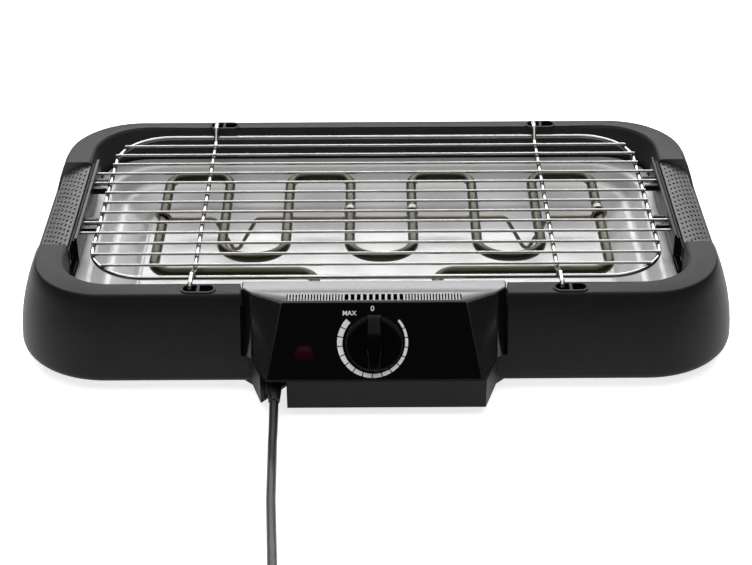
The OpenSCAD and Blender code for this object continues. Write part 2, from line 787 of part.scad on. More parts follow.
module strain_relief() {
    color("#161616") placed() relief_axis() difference() {
        union() {
            translate([0, 0, -relief_in]) cylinder(r = relief_r, h = relief_in + relief_l * 0.4);
            translate([0, 0, relief_l * 0.4]) cylinder(r1 = relief_r, r2 = cord_lie + 0.8, h = relief_l * 0.6);
        }
        for (i = [0:2]) translate([-relief_r, -6, 2 + 3 * i]) cube([2 * relief_r, 2, 1.2]);
    }
}

// Points of a flat path whose inner corners are rounded by arcs of k steps
function round_corner(p, i, r, k) =
    let (u = unit2(p[i] - p[i - 1]), v = unit2(p[i + 1] - p[i]), turn = turn_at(p, i),
        side = u[0] * v[1] - u[1] * v[0] > 0 ? 1 : -1, a = p[i] - r * tan(turn / 2) * u,
        c = a + side * r * [-u[1], u[0]], from = atan2(a[1] - c[1], a[0] - c[0]))
    [for (j = [0:k]) c + r * [cos(from + side * turn * j / k), sin(from + side * turn * j / k)]];

function round_path(p, bends, k) =
    concat([p[0]], [for (i = [1:len(p) - 2]) each round_corner(p, i, bends[i], k)], [p[len(p) - 1]]);

// A tube swept along points, one ring of n corners at each; across is never along the path
module swept_tube(p, d, n, across) {
    m = len(p);
    dir = [for (i = [0:m - 1]) unit2(p[min(i + 1, m - 1)] - p[max(i - 1, 0)])];
    rings = [for (i = [0:m - 1]) let (s = unit2(cross(dir[i], across)), u = cross(s, dir[i]))
        each [for (k = [0:n - 1]) p[i] + d / 2 * (cos(360 * k / n) * s + sin(360 * k / n) * u)]];
    walls = [for (i = [0:m - 2], k = [0:n - 1]) let (a = i * n + k, b = i * n + (k + 1) % n)
        each [[a, b, b + n], [a, b + n, a + n]]];
    polyhedron(rings, concat([[for (k = [n - 1:-1:0]) k]], [[for (k = [0:n - 1]) (m - 1) * n + k]], walls));
}

module cord_tube() {
    color("#141414") placed() swept_tube(cord_route, cord_d, 12, [1, 0, 0]);
}

module cord_coil() {
    color("#141414") placed() translate([coil_x, coil_y, 0]) rotate_extrude()
        translate([coil_r - coil_w / 2, 0]) square([coil_w, coil_h]);
}

module plug_body() {
    color("#141414") placed() translate([plug_x, plug_y, plug_r]) rotate([0, 90, 0]) {
        translate([0, 0, plug_tail]) cylinder(r = plug_r, h = plug_l);
        translate([plug_r - cord_d, 0, 0]) cylinder(r = cord_d - 0.5, h = plug_tail);
    }
}

module plug_pin(s) {
    color("#c6c6c2") placed() translate([plug_x + plug_tail + plug_l, plug_y + s * pin_gap / 2, plug_r])
        rotate([0, 90, 0]) cylinder(r = pin_r, h = pin_l);
}

// ---- Rack ----
module rack_outline() {
    color("#d4d6d8") placed() translate([0, rack_shift, wire_z]) ring_wall(rack_x - rack_corner_r,
        rack_d / 2 - rack_corner_r) translate([rack_corner_r, 0]) circle(d = rack_wire_d);
}

// Cross wire: below the bars, up over the outline and the frame, down into the sockets
module cross_wire(s) {
    over = frame_h + socket_bead + rack_wire_d / 2 + 0.4;
    low = frame_h - socket_deep + rack_wire_d / 2 + 0.3;
    climb = 9;
    route = [[-socket_y, low], [-socket_y, over], [rack_front - climb, over], [rack_front + climb, wire_z],
        [rack_back - climb, wire_z], [rack_back - 1, over], [socket_y, over], [socket_y, low]];
    bends = [0, 3.5, 5, 5, 4, 3, 3.5, 0];
    color("#d4d6d8") placed() swept_tube(
        [for (q = round_path(route, bends, 5)) [s * cross_x, q[0], q[1]]], rack_wire_d, 12, [1, 0, 0]);
}

module bar(i) {
    l = len(search(i, long_bars)) > 0 ? plate_x : bar_half(i);
    color("#d8dadc") placed() translate([-l, bar_y(i), bar_z]) rotate([0, 90, 0]) cylinder(d = bar_d, h = 2 * l);
}

// Hollow grip that fills the gap in the frame; its top falls away outwards
module handle(s) {
    out = half_w + 1;
    top = frame_h - handle_sink;
    fall = handle_fall;
    low = gap_z + 5;
    l = grip_gap_l - 2 * grip_clear;
    t = handle_t;
    color("#2c2d30") placed() mirror([s < 0 ? 1 : 0, 0]) translate([0, l / 2, 0]) rotate([90, 0, 0]) {
        linear_extrude(l) polygon([[lip_x, low], [lip_x, top], [lip_x + 6, top - 0.4],
            [(lip_x + out) / 2 + 2, top - fall * 0.36], [out, top - fall], [out + 0.6, top - fall - 3],
            [out - t + 0.6, top - fall - 3], [out - t, top - fall - t * 0.4],
            [(lip_x + out) / 2, top - fall * 0.36 - t], [lip_x + t, top - t], [lip_x + t, low]]);
        for (z = [0, l - t]) translate([0, 0, z]) linear_extrude(t) polygon([[lip_x, low], [lip_x, top],
            [lip_x + 6, top - 0.4], [(lip_x + out) / 2 + 2, top - fall * 0.36], [out, top - fall],
            [out + 0.6, top - fall - 3], [lip_x + 8, low]]);
    }
}

// Inner plate of a handle, with two pairs of arms that hold the rack's outline
module arms(s) {
    low = gap_z + 6;
    plate_l = bar_y(held_bars[1]) - bar_y(held_bars[0]) + 2 * plate_over;
    arm_end = rack_x + rack_wire_d / 2 + 0.1;
    arm_h = 5;
    color("#26272a") placed() mirror([s < 0 ? 1 : 0, 0]) {
        translate([plate_x, arms_mid_y - plate_l / 2, low]) cube([plate_t, plate_l, frame_h + 1.5 - low]);
        translate([plate_x, arms_mid_y - plate_l / 2, low]) cube([lip_x - plate_x, plate_l, 2.5]);
        for (i = held_bars, k = [-1, 1]) translate([arm_end, bar_y(i) + k * arm_spread - 1.6, wire_z - arm_h / 2])
            cube([plate_x - arm_end, 3.2, arm_h]);
    }
}

frame();
foot(-boss_x, -boss_y);  // foot_front_left
foot(boss_x, -boss_y);  // foot_front_right
foot(-boss_x, boss_y);  // foot_rear_left
foot(boss_x, boss_y);  // foot_rear_right
tray();
heater_tube();
heater_support();
clip(3);  // clip_1
clip(4);  // clip_2
clip(7);  // clip_3
bush(-1);  // bush_left
bush(1);  // bush_right
terminal(-1);  // terminal_left
terminal(1);  // terminal_right
heat_shield();
box_upper();
box_lower();
fascia();
thermostat();
spindle_nut();
knob();
lamp_lens();
lamp_body();
terminal_block();
screw(0);  // screw_1
screw(1);  // screw_2
screw(2);  // screw_3
screw(3);  // screw_4
strain_relief();
cord_tube();
cord_coil();
plug_body();
plug_pin(-1);  // plug_pin_1
plug_pin(1);  // plug_pin_2
rack_outline();
cross_wire(-1);  // cross_wire_left
cross_wire(1);  // cross_wire_right
bar(0);  // bar_01
bar(1);  // bar_02
bar(2);  // bar_03
bar(3);  // bar_04
bar(4);  // bar_05
bar(5);  // bar_06
bar(6);  // bar_07
bar(7);  // bar_08
bar(8);  // bar_09
bar(9);  // bar_10
bar(10);  // bar_11
bar(11);  // bar_12
bar(12);  // bar_13
handle(-1);  // handle_left
handle(1);  // handle_right
arms(-1);  // arms_left
arms(1);  // arms_right
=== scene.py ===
"""Electric table grill, dressed for a plain studio.

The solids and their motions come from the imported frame. This script gives every solid its
finish and puts the pieces with fine surfaces in place of the plain ones: wires, drip tray,
heating tube, handles, control box, dial, knob and mains cord.
Shapes are worked out in millimetres in the grill's own frame, whose X runs along the grill,
-Y is the side with the knob, and Z is up from the table. place() turns them to metres.
"""

from __future__ import annotations

import logging
import math
from dataclasses import dataclass
from enum import Enum

import bmesh
import bpy
import numpy as np
from mathutils import Matrix, Vector

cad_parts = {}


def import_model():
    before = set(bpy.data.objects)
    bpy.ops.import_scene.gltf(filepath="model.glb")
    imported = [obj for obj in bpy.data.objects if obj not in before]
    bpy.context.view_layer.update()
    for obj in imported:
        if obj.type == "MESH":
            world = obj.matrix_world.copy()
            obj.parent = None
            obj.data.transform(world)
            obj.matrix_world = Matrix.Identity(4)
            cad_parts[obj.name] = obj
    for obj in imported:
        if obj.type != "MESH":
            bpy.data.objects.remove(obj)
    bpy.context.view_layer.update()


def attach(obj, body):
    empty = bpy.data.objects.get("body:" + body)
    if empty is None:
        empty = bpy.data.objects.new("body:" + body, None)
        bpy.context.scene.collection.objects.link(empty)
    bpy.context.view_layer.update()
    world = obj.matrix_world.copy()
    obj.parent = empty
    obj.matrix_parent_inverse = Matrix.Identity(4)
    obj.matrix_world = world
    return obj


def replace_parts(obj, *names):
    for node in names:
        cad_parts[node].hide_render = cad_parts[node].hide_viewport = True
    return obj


LOG = logging.getLogger("table_grill")
Array = np.ndarray
Mesh = tuple[Array, list[list[int]]]
ORIGIN_Y = 19.9949
FRAME_TOP = 74.0


class Body(str, Enum):
    """The moving bodies of the grill."""

    HOUSING = "housing"
    TRAY = "drip_tray"
    HEATING = "heating_unit"
    KNOB = "knob"
    RACK = "rack"


# ---------------------------------------------------------------- finishes


def linear(colour: str) -> tuple[float, float, float, float]:
    """Turns an sRGB hex colour to linear light.

    Args:
        colour: six hex digits after a hash sign.
    Returns:
        Red, green, blue and alpha.
    """
    parts = np.array([int(colour[i : i + 2], 16) for i in (1, 3, 5)]) / 255
    light = np.where(parts <= 0.04045, parts / 12.92, ((parts + 0.055) / 1.055) ** 2.4)
    return (*(float(c) for c in light), 1.0)


def add_node(tree, kind: str, inputs: dict | None = None, links: dict | None = None, **settings):
    """Adds a shader node.

    Args:
        tree: the node tree.
        kind: the node's type name.
        inputs: values for its sockets, by name or number.
        links: (node, output) pairs for its sockets, by name or number.
        settings: its own properties.
    Returns:
        The node.
    """
    made = tree.nodes.new(kind)
    for key, value in settings.items():
        setattr(made, key, value)
    for key, value in (inputs or {}).items():
        made.inputs[key].default_value = value
    for key, (source, output) in (links or {}).items():
        tree.links.new(source.outputs[output], made.inputs[key])
    return made


@dataclass(frozen=True)
class Finish:
    """A surface: two close tones in soft patches over a fine grain.

    The grain's and the patches' sizes are in millimetres, and the bump's height too.
    """

    name: str
    tone: str
    second: str
    roughness: float
    rough_swing: float = 0.06
    metallic: float = 0.0
    grain_mm: float = 0.8
    bump_mm: float = 0.02
    patch_mm: float = 25.0
    stretch: tuple[float, float, float] = (1.0, 1.0, 1.0)
    specular: float = 0.5
    glow: float = 0.0

    def material(self) -> bpy.types.Material:
        """Builds the node material, once.

        Returns:
            The material of this finish.
        """
        known = bpy.data.materials.get(self.name)
        if known:
            return known
        made = bpy.data.materials.new(self.name)
        made.use_nodes = True
        tree = made.node_tree
        tree.nodes.clear()
        inputs = {
            "Metallic": self.metallic,
            "Specular IOR Level": self.specular,
            "Emission Color": (1.0, 1.0, 1.0, 1.0),
            "Emission Strength": self.glow,
        }
        shader = add_node(tree, "ShaderNodeBsdfPrincipled", inputs)
        out = add_node(tree, "ShaderNodeOutputMaterial", links={"Surface": (shader, "BSDF")})
        out.is_active_output = True
        where = add_node(tree, "ShaderNodeTexCoord")
        laid = add_node(tree, "ShaderNodeMapping", {"Scale": self.stretch}, {"Vector": (where, "Object")})
        self.dress(tree, shader, laid)
        return made

    def noise(self, tree, laid, size_mm: float, **inputs: float) -> bpy.types.Node:
        """Adds a noise whose swells have the given size in millimetres."""
        return add_node(
            tree, "ShaderNodeTexNoise", {"Scale": 1000 / size_mm, **inputs}, {"Vector": (laid, "Vector")}
        )

    def dress(self, tree, shader, laid) -> None:
        """Adds colour, roughness and bump.

        Args:
            tree: the node tree.
            shader: the shader that they feed.
            laid: the node that gives the stretched coordinates.
        """
        patches = self.noise(tree, laid, self.patch_mm, Detail=3.0, Roughness=0.6)
        tones = add_node(tree, "ShaderNodeValToRGB", links={"Fac": (patches, "Fac")})
        for stop, at, tone in zip(tones.color_ramp.elements, (0.35, 0.65), (self.tone, self.second)):
            stop.position, stop.color = at, linear(tone)
        tree.links.new(tones.outputs["Color"], shader.inputs["Base Color"])
        grain = self.noise(tree, laid, self.grain_mm, Detail=2.0)
        spread = {
            "From Min": 0.3,
            "From Max": 0.7,
            "To Min": max(0.02, self.roughness - self.rough_swing),
            "To Max": self.roughness + self.rough_swing,
        }
        rough = add_node(tree, "ShaderNodeMapRange", spread, {"Value": (grain, "Fac")})
        tree.links.new(rough.outputs["Result"], shader.inputs["Roughness"])
        height = {"Strength": 1.0, "Distance": self.bump_mm / 1000}
        bump = add_node(tree, "ShaderNodeBump", height, {"Height": (grain, "Fac")})
        tree.links.new(bump.outputs["Normal"], shader.inputs["Normal"])


# Glass-filled polypropylene from a spark-eroded mould: a satin black with a fine even grain
FRAME_PLASTIC = Finish(
    "moulded_pp_satin", "#121213", "#151516", 0.46, grain_mm=0.7, bump_mm=0.02, specular=0.13
)
# The same moulding on the inner walls, a little rougher, with its colour painted greyer: painted light for
# the brighter light that falls inside the opening
INNER_WALL_PAINTED_LIGHT = Finish(
    "moulded_pp_inner_painted_light", "#2c2c2d", "#323233", 0.55, grain_mm=0.7, bump_mm=0.02, specular=0.35
)
# The box is the same black, from a smoother mould, so its flat top shines
SHELL_PLASTIC = Finish(
    "moulded_pp_smooth", "#0f0f10", "#131314", 0.21, 0.03, grain_mm=0.6, bump_mm=0.004, specular=0.5
)
# The same plastic with a drier grain, so the hand's places look greyer
HANDLE_PLASTIC = Finish("moulded_pp_dry", "#343437", "#3b3b3e", 0.5, grain_mm=0.6, bump_mm=0.03)
# Polished plate, black and nearly mirror smooth
GLOSS_BLACK = Finish(
    "polished_abs_black", "#030303", "#040405", 0.09, 0.02, grain_mm=4, bump_mm=0.002, specular=0.3
)
# Moulded phenolic knob, satin, with a clean shine along its edges
KNOB_PLASTIC = Finish(
    "moulded_knob_black", "#030303", "#050505", 0.16, 0.03, grain_mm=0.9, bump_mm=0.002, specular=0.07
)
# Silk-screened ink, slightly raised and matt
PRINT_WHITE = Finish("screen_ink_white", "#e4e4e2", "#efefed", 0.55, grain_mm=0.3, bump_mm=0.004)
# Tinted polycarbonate lens over an unlit lamp
LAMP_RED = Finish(
    "tinted_polycarbonate", "#1d0204", "#260306", 0.35, 0.03, grain_mm=3, bump_mm=0.01, specular=0.05
)
# Pressed aluminised steel: bright, with a faint rolled grain along its length
TRAY_STEEL = Finish(
    "pressed_bright_steel", "#c9c9ca", "#cfcfcf", 0.55, 0.02, metallic=0.65, grain_mm=2.5, bump_mm=0.002,
    patch_mm=60, stretch=(0.1, 1.0, 1.0),
)
# Nickel-chrome plated wire: bright and smooth, with a little orange peel
CHROME_WIRE = Finish(
    "plated_wire", "#9c9c9a", "#a9a8a4", 0.2, 0.02, metallic=1.0, grain_mm=2.5, bump_mm=0.006, patch_mm=12
)
# Annealed nickel-steel sheath, oxidised to a dull olive by its first heating
HEATER_STEEL = Finish(
    "oxidised_sheath", "#313126", "#3e3e2f", 0.36, 0.02, metallic=0.85, grain_mm=1.2, bump_mm=0.003,
    patch_mm=40,
)
# Plain steel wire, tinted straw and brown where the tube heats it
SUPPORT_STEEL = Finish(
    "heat_tinted_wire", "#756c60", "#857b70", 0.36, 0.04, metallic=0.85, grain_mm=0.9, bump_mm=0.01,
    patch_mm=22,
)
# Plain strip of the clips on the tube, dulled by its heat
CLIP_STEEL = Finish(
    "dulled_strip", "#8f8e88", "#9b9a92", 0.5, 0.05, metallic=1.0, grain_mm=1.2, bump_mm=0.004, patch_mm=6
)
# Bright zinc-plated strip and fixings
PLAIN_STEEL = Finish(
    "zinc_plated_steel", "#b9bcbe", "#cfd1d2", 0.28, 0.08, metallic=1.0, grain_mm=0.8, bump_mm=0.01,
    patch_mm=8,
)
NICKEL = Finish("nickel_plated_brass", "#c7c4bb", "#d8d5cc", 0.2, 0.05, metallic=1.0, patch_mm=6)
# Soft PVC sheath, slightly waxy
CORD_PVC = Finish("pvc_sheath_black", "#141415", "#19191a", 0.42, grain_mm=1.1, bump_mm=0.02)
# Dry rubber, almost matt
RUBBER = Finish("moulded_rubber", "#161616", "#1d1d1d", 0.75, grain_mm=0.6, bump_mm=0.04)
# Fired steatite, off-white and dry
CERAMIC = Finish("fired_steatite", "#d6d1c4", "#e2ded2", 0.55, grain_mm=0.5, bump_mm=0.02)
# Brown phenolic of the switch
PHENOLIC = Finish("phenolic_brown", "#5b4634", "#6e5641", 0.5, grain_mm=0.7, bump_mm=0.02)
# Smooth black moulding of the arms that hold the rack's bars
HOLDER_PLASTIC = Finish(
    "moulded_arm_black", "#070708", "#0a0a0b", 0.34, 0.04, grain_mm=0.8, bump_mm=0.005, specular=0.2
)
# Pale paper, lit from below as a light table is
FLOOR_PAPER = Finish(
    "floor_paper", "#f4f4f4", "#f6f6f6", 0.9, grain_mm=3, bump_mm=0.0, specular=0.0, glow=0.76
)


# ---------------------------------------------------------------- meshes


def place(points: Array) -> Array:
    """Turns millimetres in the grill's own frame to metres in the shared frame."""
    return (np.asarray(points, float) + (0.0, ORIGIN_Y, 0.0)) / 1000


def grill_point(at: Vector | list[Vector]) -> Array:
    """Turns metres in the shared frame to millimetres in the grill's own frame."""
    return np.array(at) * 1000 - (0.0, ORIGIN_Y, 0.0)


def quads(rows: int, columns: int, closed: bool = False) -> Array:
    """The faces of a grid of points, row by row.

    Args:
        rows: how many rows of points.
        columns: how many points in a row.
        closed: whether the last column meets the first.
    Returns:
        Four point numbers a face.
    """
    r, c = np.meshgrid(np.arange(rows - 1), np.arange(columns if closed else columns - 1), indexing="ij")
    low, high, n = r * columns, (r + 1) * columns, (c + 1) % columns
    return np.stack([low + c, low + n, high + n, high + c], -1).reshape(-1, 4)


def capped(rows: int, columns: int) -> list[list[int]]:
    """The faces of a closed skin through rings of points, with the first and last ring filled."""
    ends = [list(range(columns))[::-1], list(range((rows - 1) * columns, rows * columns))]
    return quads(rows, columns, True).tolist() + ends


def facing(data: bpy.types.Mesh, merge: float, outward: bool = True) -> bpy.types.Mesh:
    """Merges points closer than the given distance in the mesh's unit, and turns faces outwards."""
    work = bmesh.new()
    work.from_mesh(data)
    bmesh.ops.remove_doubles(work, verts=work.verts, dist=merge)
    if outward:
        bmesh.ops.recalc_face_normals(work, faces=work.faces)
    work.to_mesh(data)
    work.free()
    return data


def raw_mesh(name: str, mesh: Mesh) -> bpy.types.Mesh:
    """Makes mesh data from points and faces as they are."""
    data = bpy.data.meshes.new(name)
    data.from_pydata(np.asarray(mesh[0]).tolist(), [], [list(map(int, f)) for f in mesh[1]])
    return data


def shade(data: bpy.types.Mesh, crease: float) -> None:
    """Sets smooth shading, with edges sharper than the crease's angle in degrees left sharp."""
    data.shade_smooth()
    data.set_sharp_from_angle(angle=math.radians(crease))


def link(name: str, data: bpy.types.ID) -> bpy.types.Object:
    """Makes an object of some data and links it to the scene."""
    made = bpy.data.objects.new(name, data)
    bpy.context.scene.collection.objects.link(made)
    return made


def make_piece(
    name: str, mesh: Mesh, finish: Finish, body: Body, crease: float = 40.0, outward: bool = True
) -> bpy.types.Object:
    """Makes a piece from points in the grill's own frame.

    Args:
        name: the piece's name.
        mesh: its points in millimetres, and its faces.
        finish: its surface.
        body: the body that it moves with.
        crease: the angle in degrees from which an edge looks sharp.
        outward: whether to turn all faces outwards, which needs a closed shape.
    Returns:
        The object.
    """
    data = facing(raw_mesh(name, (place(mesh[0]), mesh[1])), 1e-6, outward)
    shade(data, crease)
    return settle(name, data, finish, body)


def settle(name: str, data: bpy.types.ID, finish: Finish, body: Body) -> bpy.types.Object:
    """Makes a piece of some data, gives it its finish and lets it ride on its body."""
    piece = link(name, data)
    data.materials.clear()
    data.materials.append(finish.material())
    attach(piece, body.value)
    LOG.info("made %s on %s", piece.name, body.value)
    return piece


def circle(sides: int) -> Array:
    """Cosine and sine of evenly spaced angles, once round."""
    a = np.linspace(0, 2 * np.pi, sides, endpoint=False)
    return np.stack([np.cos(a), np.sin(a)], -1)


def join_meshes(parts: list[Mesh]) -> Mesh:
    """Puts several meshes into one."""
    points, faces, first = [], [], 0
    for some, some_faces in parts:
        points.append(np.asarray(some, float))
        faces += [[int(v) + first for v in f] for f in some_faces]
        first += len(some)
    return np.vstack(points), faces


def sweep(
    path: Array, radius: float | Array, sides: int, across: tuple[float, float, float], closed: bool = False
) -> Mesh:
    """A round tube along a path.

    At each point the ring is radius * (cos a * side + sin a * up), where side is square to the
    path and to across, and up is square to both.

    Args:
        path: the centre line's points.
        radius: one radius, or one for each point.
        sides: corners of a ring.
        across: a direction that is never along the path.
        closed: whether the path comes back to its start.
    Returns:
        The tube, with flat ends if it is open.
    """
    path = np.asarray(path, float)
    ahead = np.roll(path, -1, 0) - np.roll(path, 1, 0)
    if not closed:
        ahead[0], ahead[-1] = path[1] - path[0], path[-1] - path[-2]
    ahead /= np.linalg.norm(ahead, axis=1)[:, None]
    side = np.cross(ahead, np.broadcast_to(across, ahead.shape))
    side /= np.linalg.norm(side, axis=1)[:, None]
    up = np.cross(side, ahead)
    a = circle(sides)[None, :, :, None]
    size = np.broadcast_to(radius, (len(path),))[:, None, None]
    rings = path[:, None] + size * (a[:, :, 0] * side[:, None] + a[:, :, 1] * up[:, None])
    n = len(path)
    faces = (quads(n + 1, sides, True) % (n * sides)).tolist() if closed else capped(n, sides)
    return rings.reshape(-1, 3), faces


def bent(points: list, radii: list[float], steps: int = 8) -> Array:
    """A line through points whose inner corners are arcs of the given radii.

    Each corner's arc starts radius * tan(turn / 2) before it and is drawn about the centre that
    lies on the inner side.

    Args:
        points: the corners.
        radii: one radius for each corner; the first and last aren't used.
        steps: points on each arc.
    Returns:
        The line's points.
    """
    p = np.asarray(points, float)
    line = [p[:1]]
    for i in range(1, len(p) - 1):
        u = (p[i] - p[i - 1]) / np.linalg.norm(p[i] - p[i - 1])
        v = (p[i + 1] - p[i]) / np.linalg.norm(p[i + 1] - p[i])
        turn = math.acos(float(np.clip(u @ v, -1, 1)))
        inward = v - u * (u @ v)
        inward /= np.linalg.norm(inward)
        start = p[i] - radii[i] * math.tan(turn / 2) * u
        a = np.linspace(0, turn, steps)[:, None]
        line.append(start + radii[i] * (np.sin(a) * u + (1 - np.cos(a)) * inward))
    return np.vstack(line + [p[-1:]])


def spaced(line: Array, step: float) -> Array:
    """The same line with points no further apart than step."""
    gaps = np.linalg.norm(np.diff(line, axis=0), axis=1)
    counts = np.maximum(1, np.ceil(gaps / step)).astype(int)
    parts = [a + (b - a) * np.arange(n)[:, None] / n for a, b, n in zip(line[:-1], line[1:], counts)]
    return np.vstack(parts + [line[-1:]])


def round_rectangle(
    half_x: float, low_y: float, high_y: float, radius: float, arc: int = 16, side: int = 8
) -> Array:
    """A closed rectangle with round corners, anticlockwise from its right side.

    Every ring of one arc and side has the same number of points, so rings can be joined.
    """
    parts = []
    corners = [(half_x - radius, high_y - radius), (radius - half_x, high_y - radius),
               (radius - half_x, low_y + radius), (half_x - radius, low_y + radius)]
    for k, (x, y) in enumerate(corners):
        a = np.linspace(k * np.pi / 2, (k + 1) * np.pi / 2, arc)
        parts.append(np.stack([x + radius * np.cos(a), y + radius * np.sin(a)], -1))
        after = np.array(corners[(k + 1) % 4]) + radius * np.array([math.cos(a[-1]), math.sin(a[-1])])
        t = np.arange(1, side)[:, None] / side
        parts.append(parts[-1][-1] + (after - parts[-1][-1]) * t)
    return np.vstack(parts)


def meet(p: Array, along_p: Array, q: Array, along_q: Array) -> tuple[float, float]:
    """The point where two flat lines cross, each given by a point and a direction."""
    share = np.linalg.solve(np.stack([along_p, -along_q], -1), q - p)[0]
    return tuple(p + share * along_p)


def smooth_step(t: Array) -> Array:
    """Rises smoothly from 0 to 1 as t goes from 0 to 1."""
    t = np.clip(t, 0, 1)
    return t * t * (3 - 2 * t)


def extrude(outline: Array, low: float, high: float) -> Mesh:
    """A straight prism over a flat outline, from z = low to z = high."""
    n = len(outline)
    points = np.vstack([np.column_stack([outline, np.full(n, z)]) for z in (low, high)])
    return points, capped(2, n)


def carve(outer: Mesh, cutters: list[Mesh]) -> Mesh:
    """Cuts closed shapes out of another, in the grill's own frame.

    Args:
        outer: the shape that is cut.
        cutters: what is cut from it, one after another; the closed shapes of one are apart.
    Returns:
        The rest.
    """
    made = [link("carving", facing(raw_mesh("carving", shape), 1e-5)) for shape in (outer, *cutters)]
    for cutter in made[1:]:
        cut = made[0].modifiers.new("cut", "BOOLEAN")
        cut.operation, cut.solver, cut.object = "DIFFERENCE", "EXACT", cutter
    bpy.context.view_layer.update()
    rest = shown_mesh(made[0])
    for piece in made:
        bpy.data.objects.remove(piece)
    return rest


def shown_mesh(piece: bpy.types.Object) -> Mesh:
    """The points and faces of a piece as shown, with its modifiers."""
    data = bpy.data.meshes.new_from_object(piece.evaluated_get(bpy.context.evaluated_depsgraph_get()))
    flat = np.empty(len(data.vertices) * 3)
    data.vertices.foreach_get("co", flat)
    return flat.reshape(-1, 3), [list(f.vertices) for f in data.polygons]


def round_edges(piece: bpy.types.Object, width_mm: float, angle: float = 35.0, segments: int = 2) -> None:
    """Rounds a piece's sharp edges with a live bevel."""
    bevel = piece.modifiers.new("edge", "BEVEL")
    bevel.width = width_mm / 1000
    bevel.segments = segments
    bevel.limit_method = "ANGLE"
    bevel.angle_limit = math.radians(angle)
    bevel.harden_normals = True
    bevel.use_clamp_overlap = True


def soften(
    node: str, name: str, finish: Finish, body: Body, edge_mm: float, crease: float = 30.0
) -> bpy.types.Object:
    """A copy of a node's solid with its flat faces joined and its edges rounded, in its place.

    Args:
        node: the node that it stands for.
        name: the new piece's name.
        finish: its surface.
        body: the body that it moves with.
        edge_mm: the rounding of its edges.
        crease: the angle in degrees from which an edge counts as sharp.
    Returns:
        The new piece.
    """
    data = bpy.data.objects[node].data.copy()
    work = bmesh.new()
    work.from_mesh(data)
    bmesh.ops.remove_doubles(work, verts=work.verts, dist=2e-6)
    bmesh.ops.dissolve_limit(work, angle_limit=math.radians(0.6), verts=work.verts, edges=work.edges)
    work.to_mesh(data)
    work.free()
    shade(data, crease)
    piece = settle(name, data, finish, body)
    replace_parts(piece, node)
    if edge_mm:
        round_edges(piece, edge_mm, crease)
    return piece


def paint(nodes: dict[str, Finish]) -> None:
    """Gives solids that stay as they are their finish."""
    for name, finish in nodes.items():
        data = bpy.data.objects[name].data
        data.materials.clear()
        data.materials.append(finish.material())


# ---------------------------------------------------------------- camera and cord


@dataclass
class Studio:
    """Camera, soft lights and a pale floor. Distances are in metres."""

    camera_at: tuple[float, float, float] = (0.0, -1.1486, 0.715)
    pitch: float = 31.5
    roll: float = -0.3
    lens: float = 82.15
    aim: tuple[float, float, float] = (0.0, 0.0, 0.04)
    ambient: float = 0.06
    floor_size: float = 6.0

    def set_camera(self) -> None:
        """Sets the camera before anything else is made."""
        data = bpy.data.cameras.new("camera")
        data.lens, data.sensor_width = self.lens, 36.0
        data.clip_start, data.clip_end = 0.05, 20.0
        camera = link("camera", data)
        camera.matrix_world = (
            Matrix.Translation(self.camera_at)
            @ Matrix.Rotation(math.radians(90 - self.pitch), 4, "X")
            @ Matrix.Rotation(math.radians(self.roll), 4, "Z")
        )
        bpy.context.scene.camera = camera

    def add_light(self, name: str, at: tuple, size: tuple, power: float) -> None:
        """Adds a rectangular soft light that faces the grill."""
        data = bpy.data.lights.new(name, "AREA")
        data.shape, data.size, data.size_y, data.energy = "RECTANGLE", *size, power
        light = link(name, data)
        light.location = at
        light.rotation_euler = Vector(np.array(self.aim) - at).to_track_quat("-Z", "Y").to_euler()

    def light(self) -> None:
        """Lights the scene and lays the floor."""
        self.add_light("key", (0.0, 0.0, 2.6), (4.0, 4.0), 79)
        self.add_light("high", (0.0, 1.7, 2.1), (3.4, 1.0), 18)
        self.add_light("back", (0.0, 1.9, 1.2), (3.4, 1.0), 12)
        self.add_light("strip", (0.0, 1.88, 1.36), (3.4, 0.2), 27)
        self.add_light("low", (0.0, 1.88, 0.88), (3.4, 0.26), 17)
        world = bpy.data.worlds.new("studio")
        world.use_nodes = True
        sky = world.node_tree.nodes["Background"]
        sky.inputs["Color"].default_value = (1, 1, 1, 1)
        sky.inputs["Strength"].default_value = self.ambient
        bpy.context.scene.world = world
        bpy.context.scene.view_settings.view_transform = "Standard"
        size = self.floor_size
        corners = [(-size, -size, 0), (size, -size, 0), (size, size, 0), (-size, size, 0)]
        floor = link("floor", raw_mesh("floor", (corners, [[0, 1, 2, 3]])))
        floor.data.materials.append(FLOOR_PAPER.material())


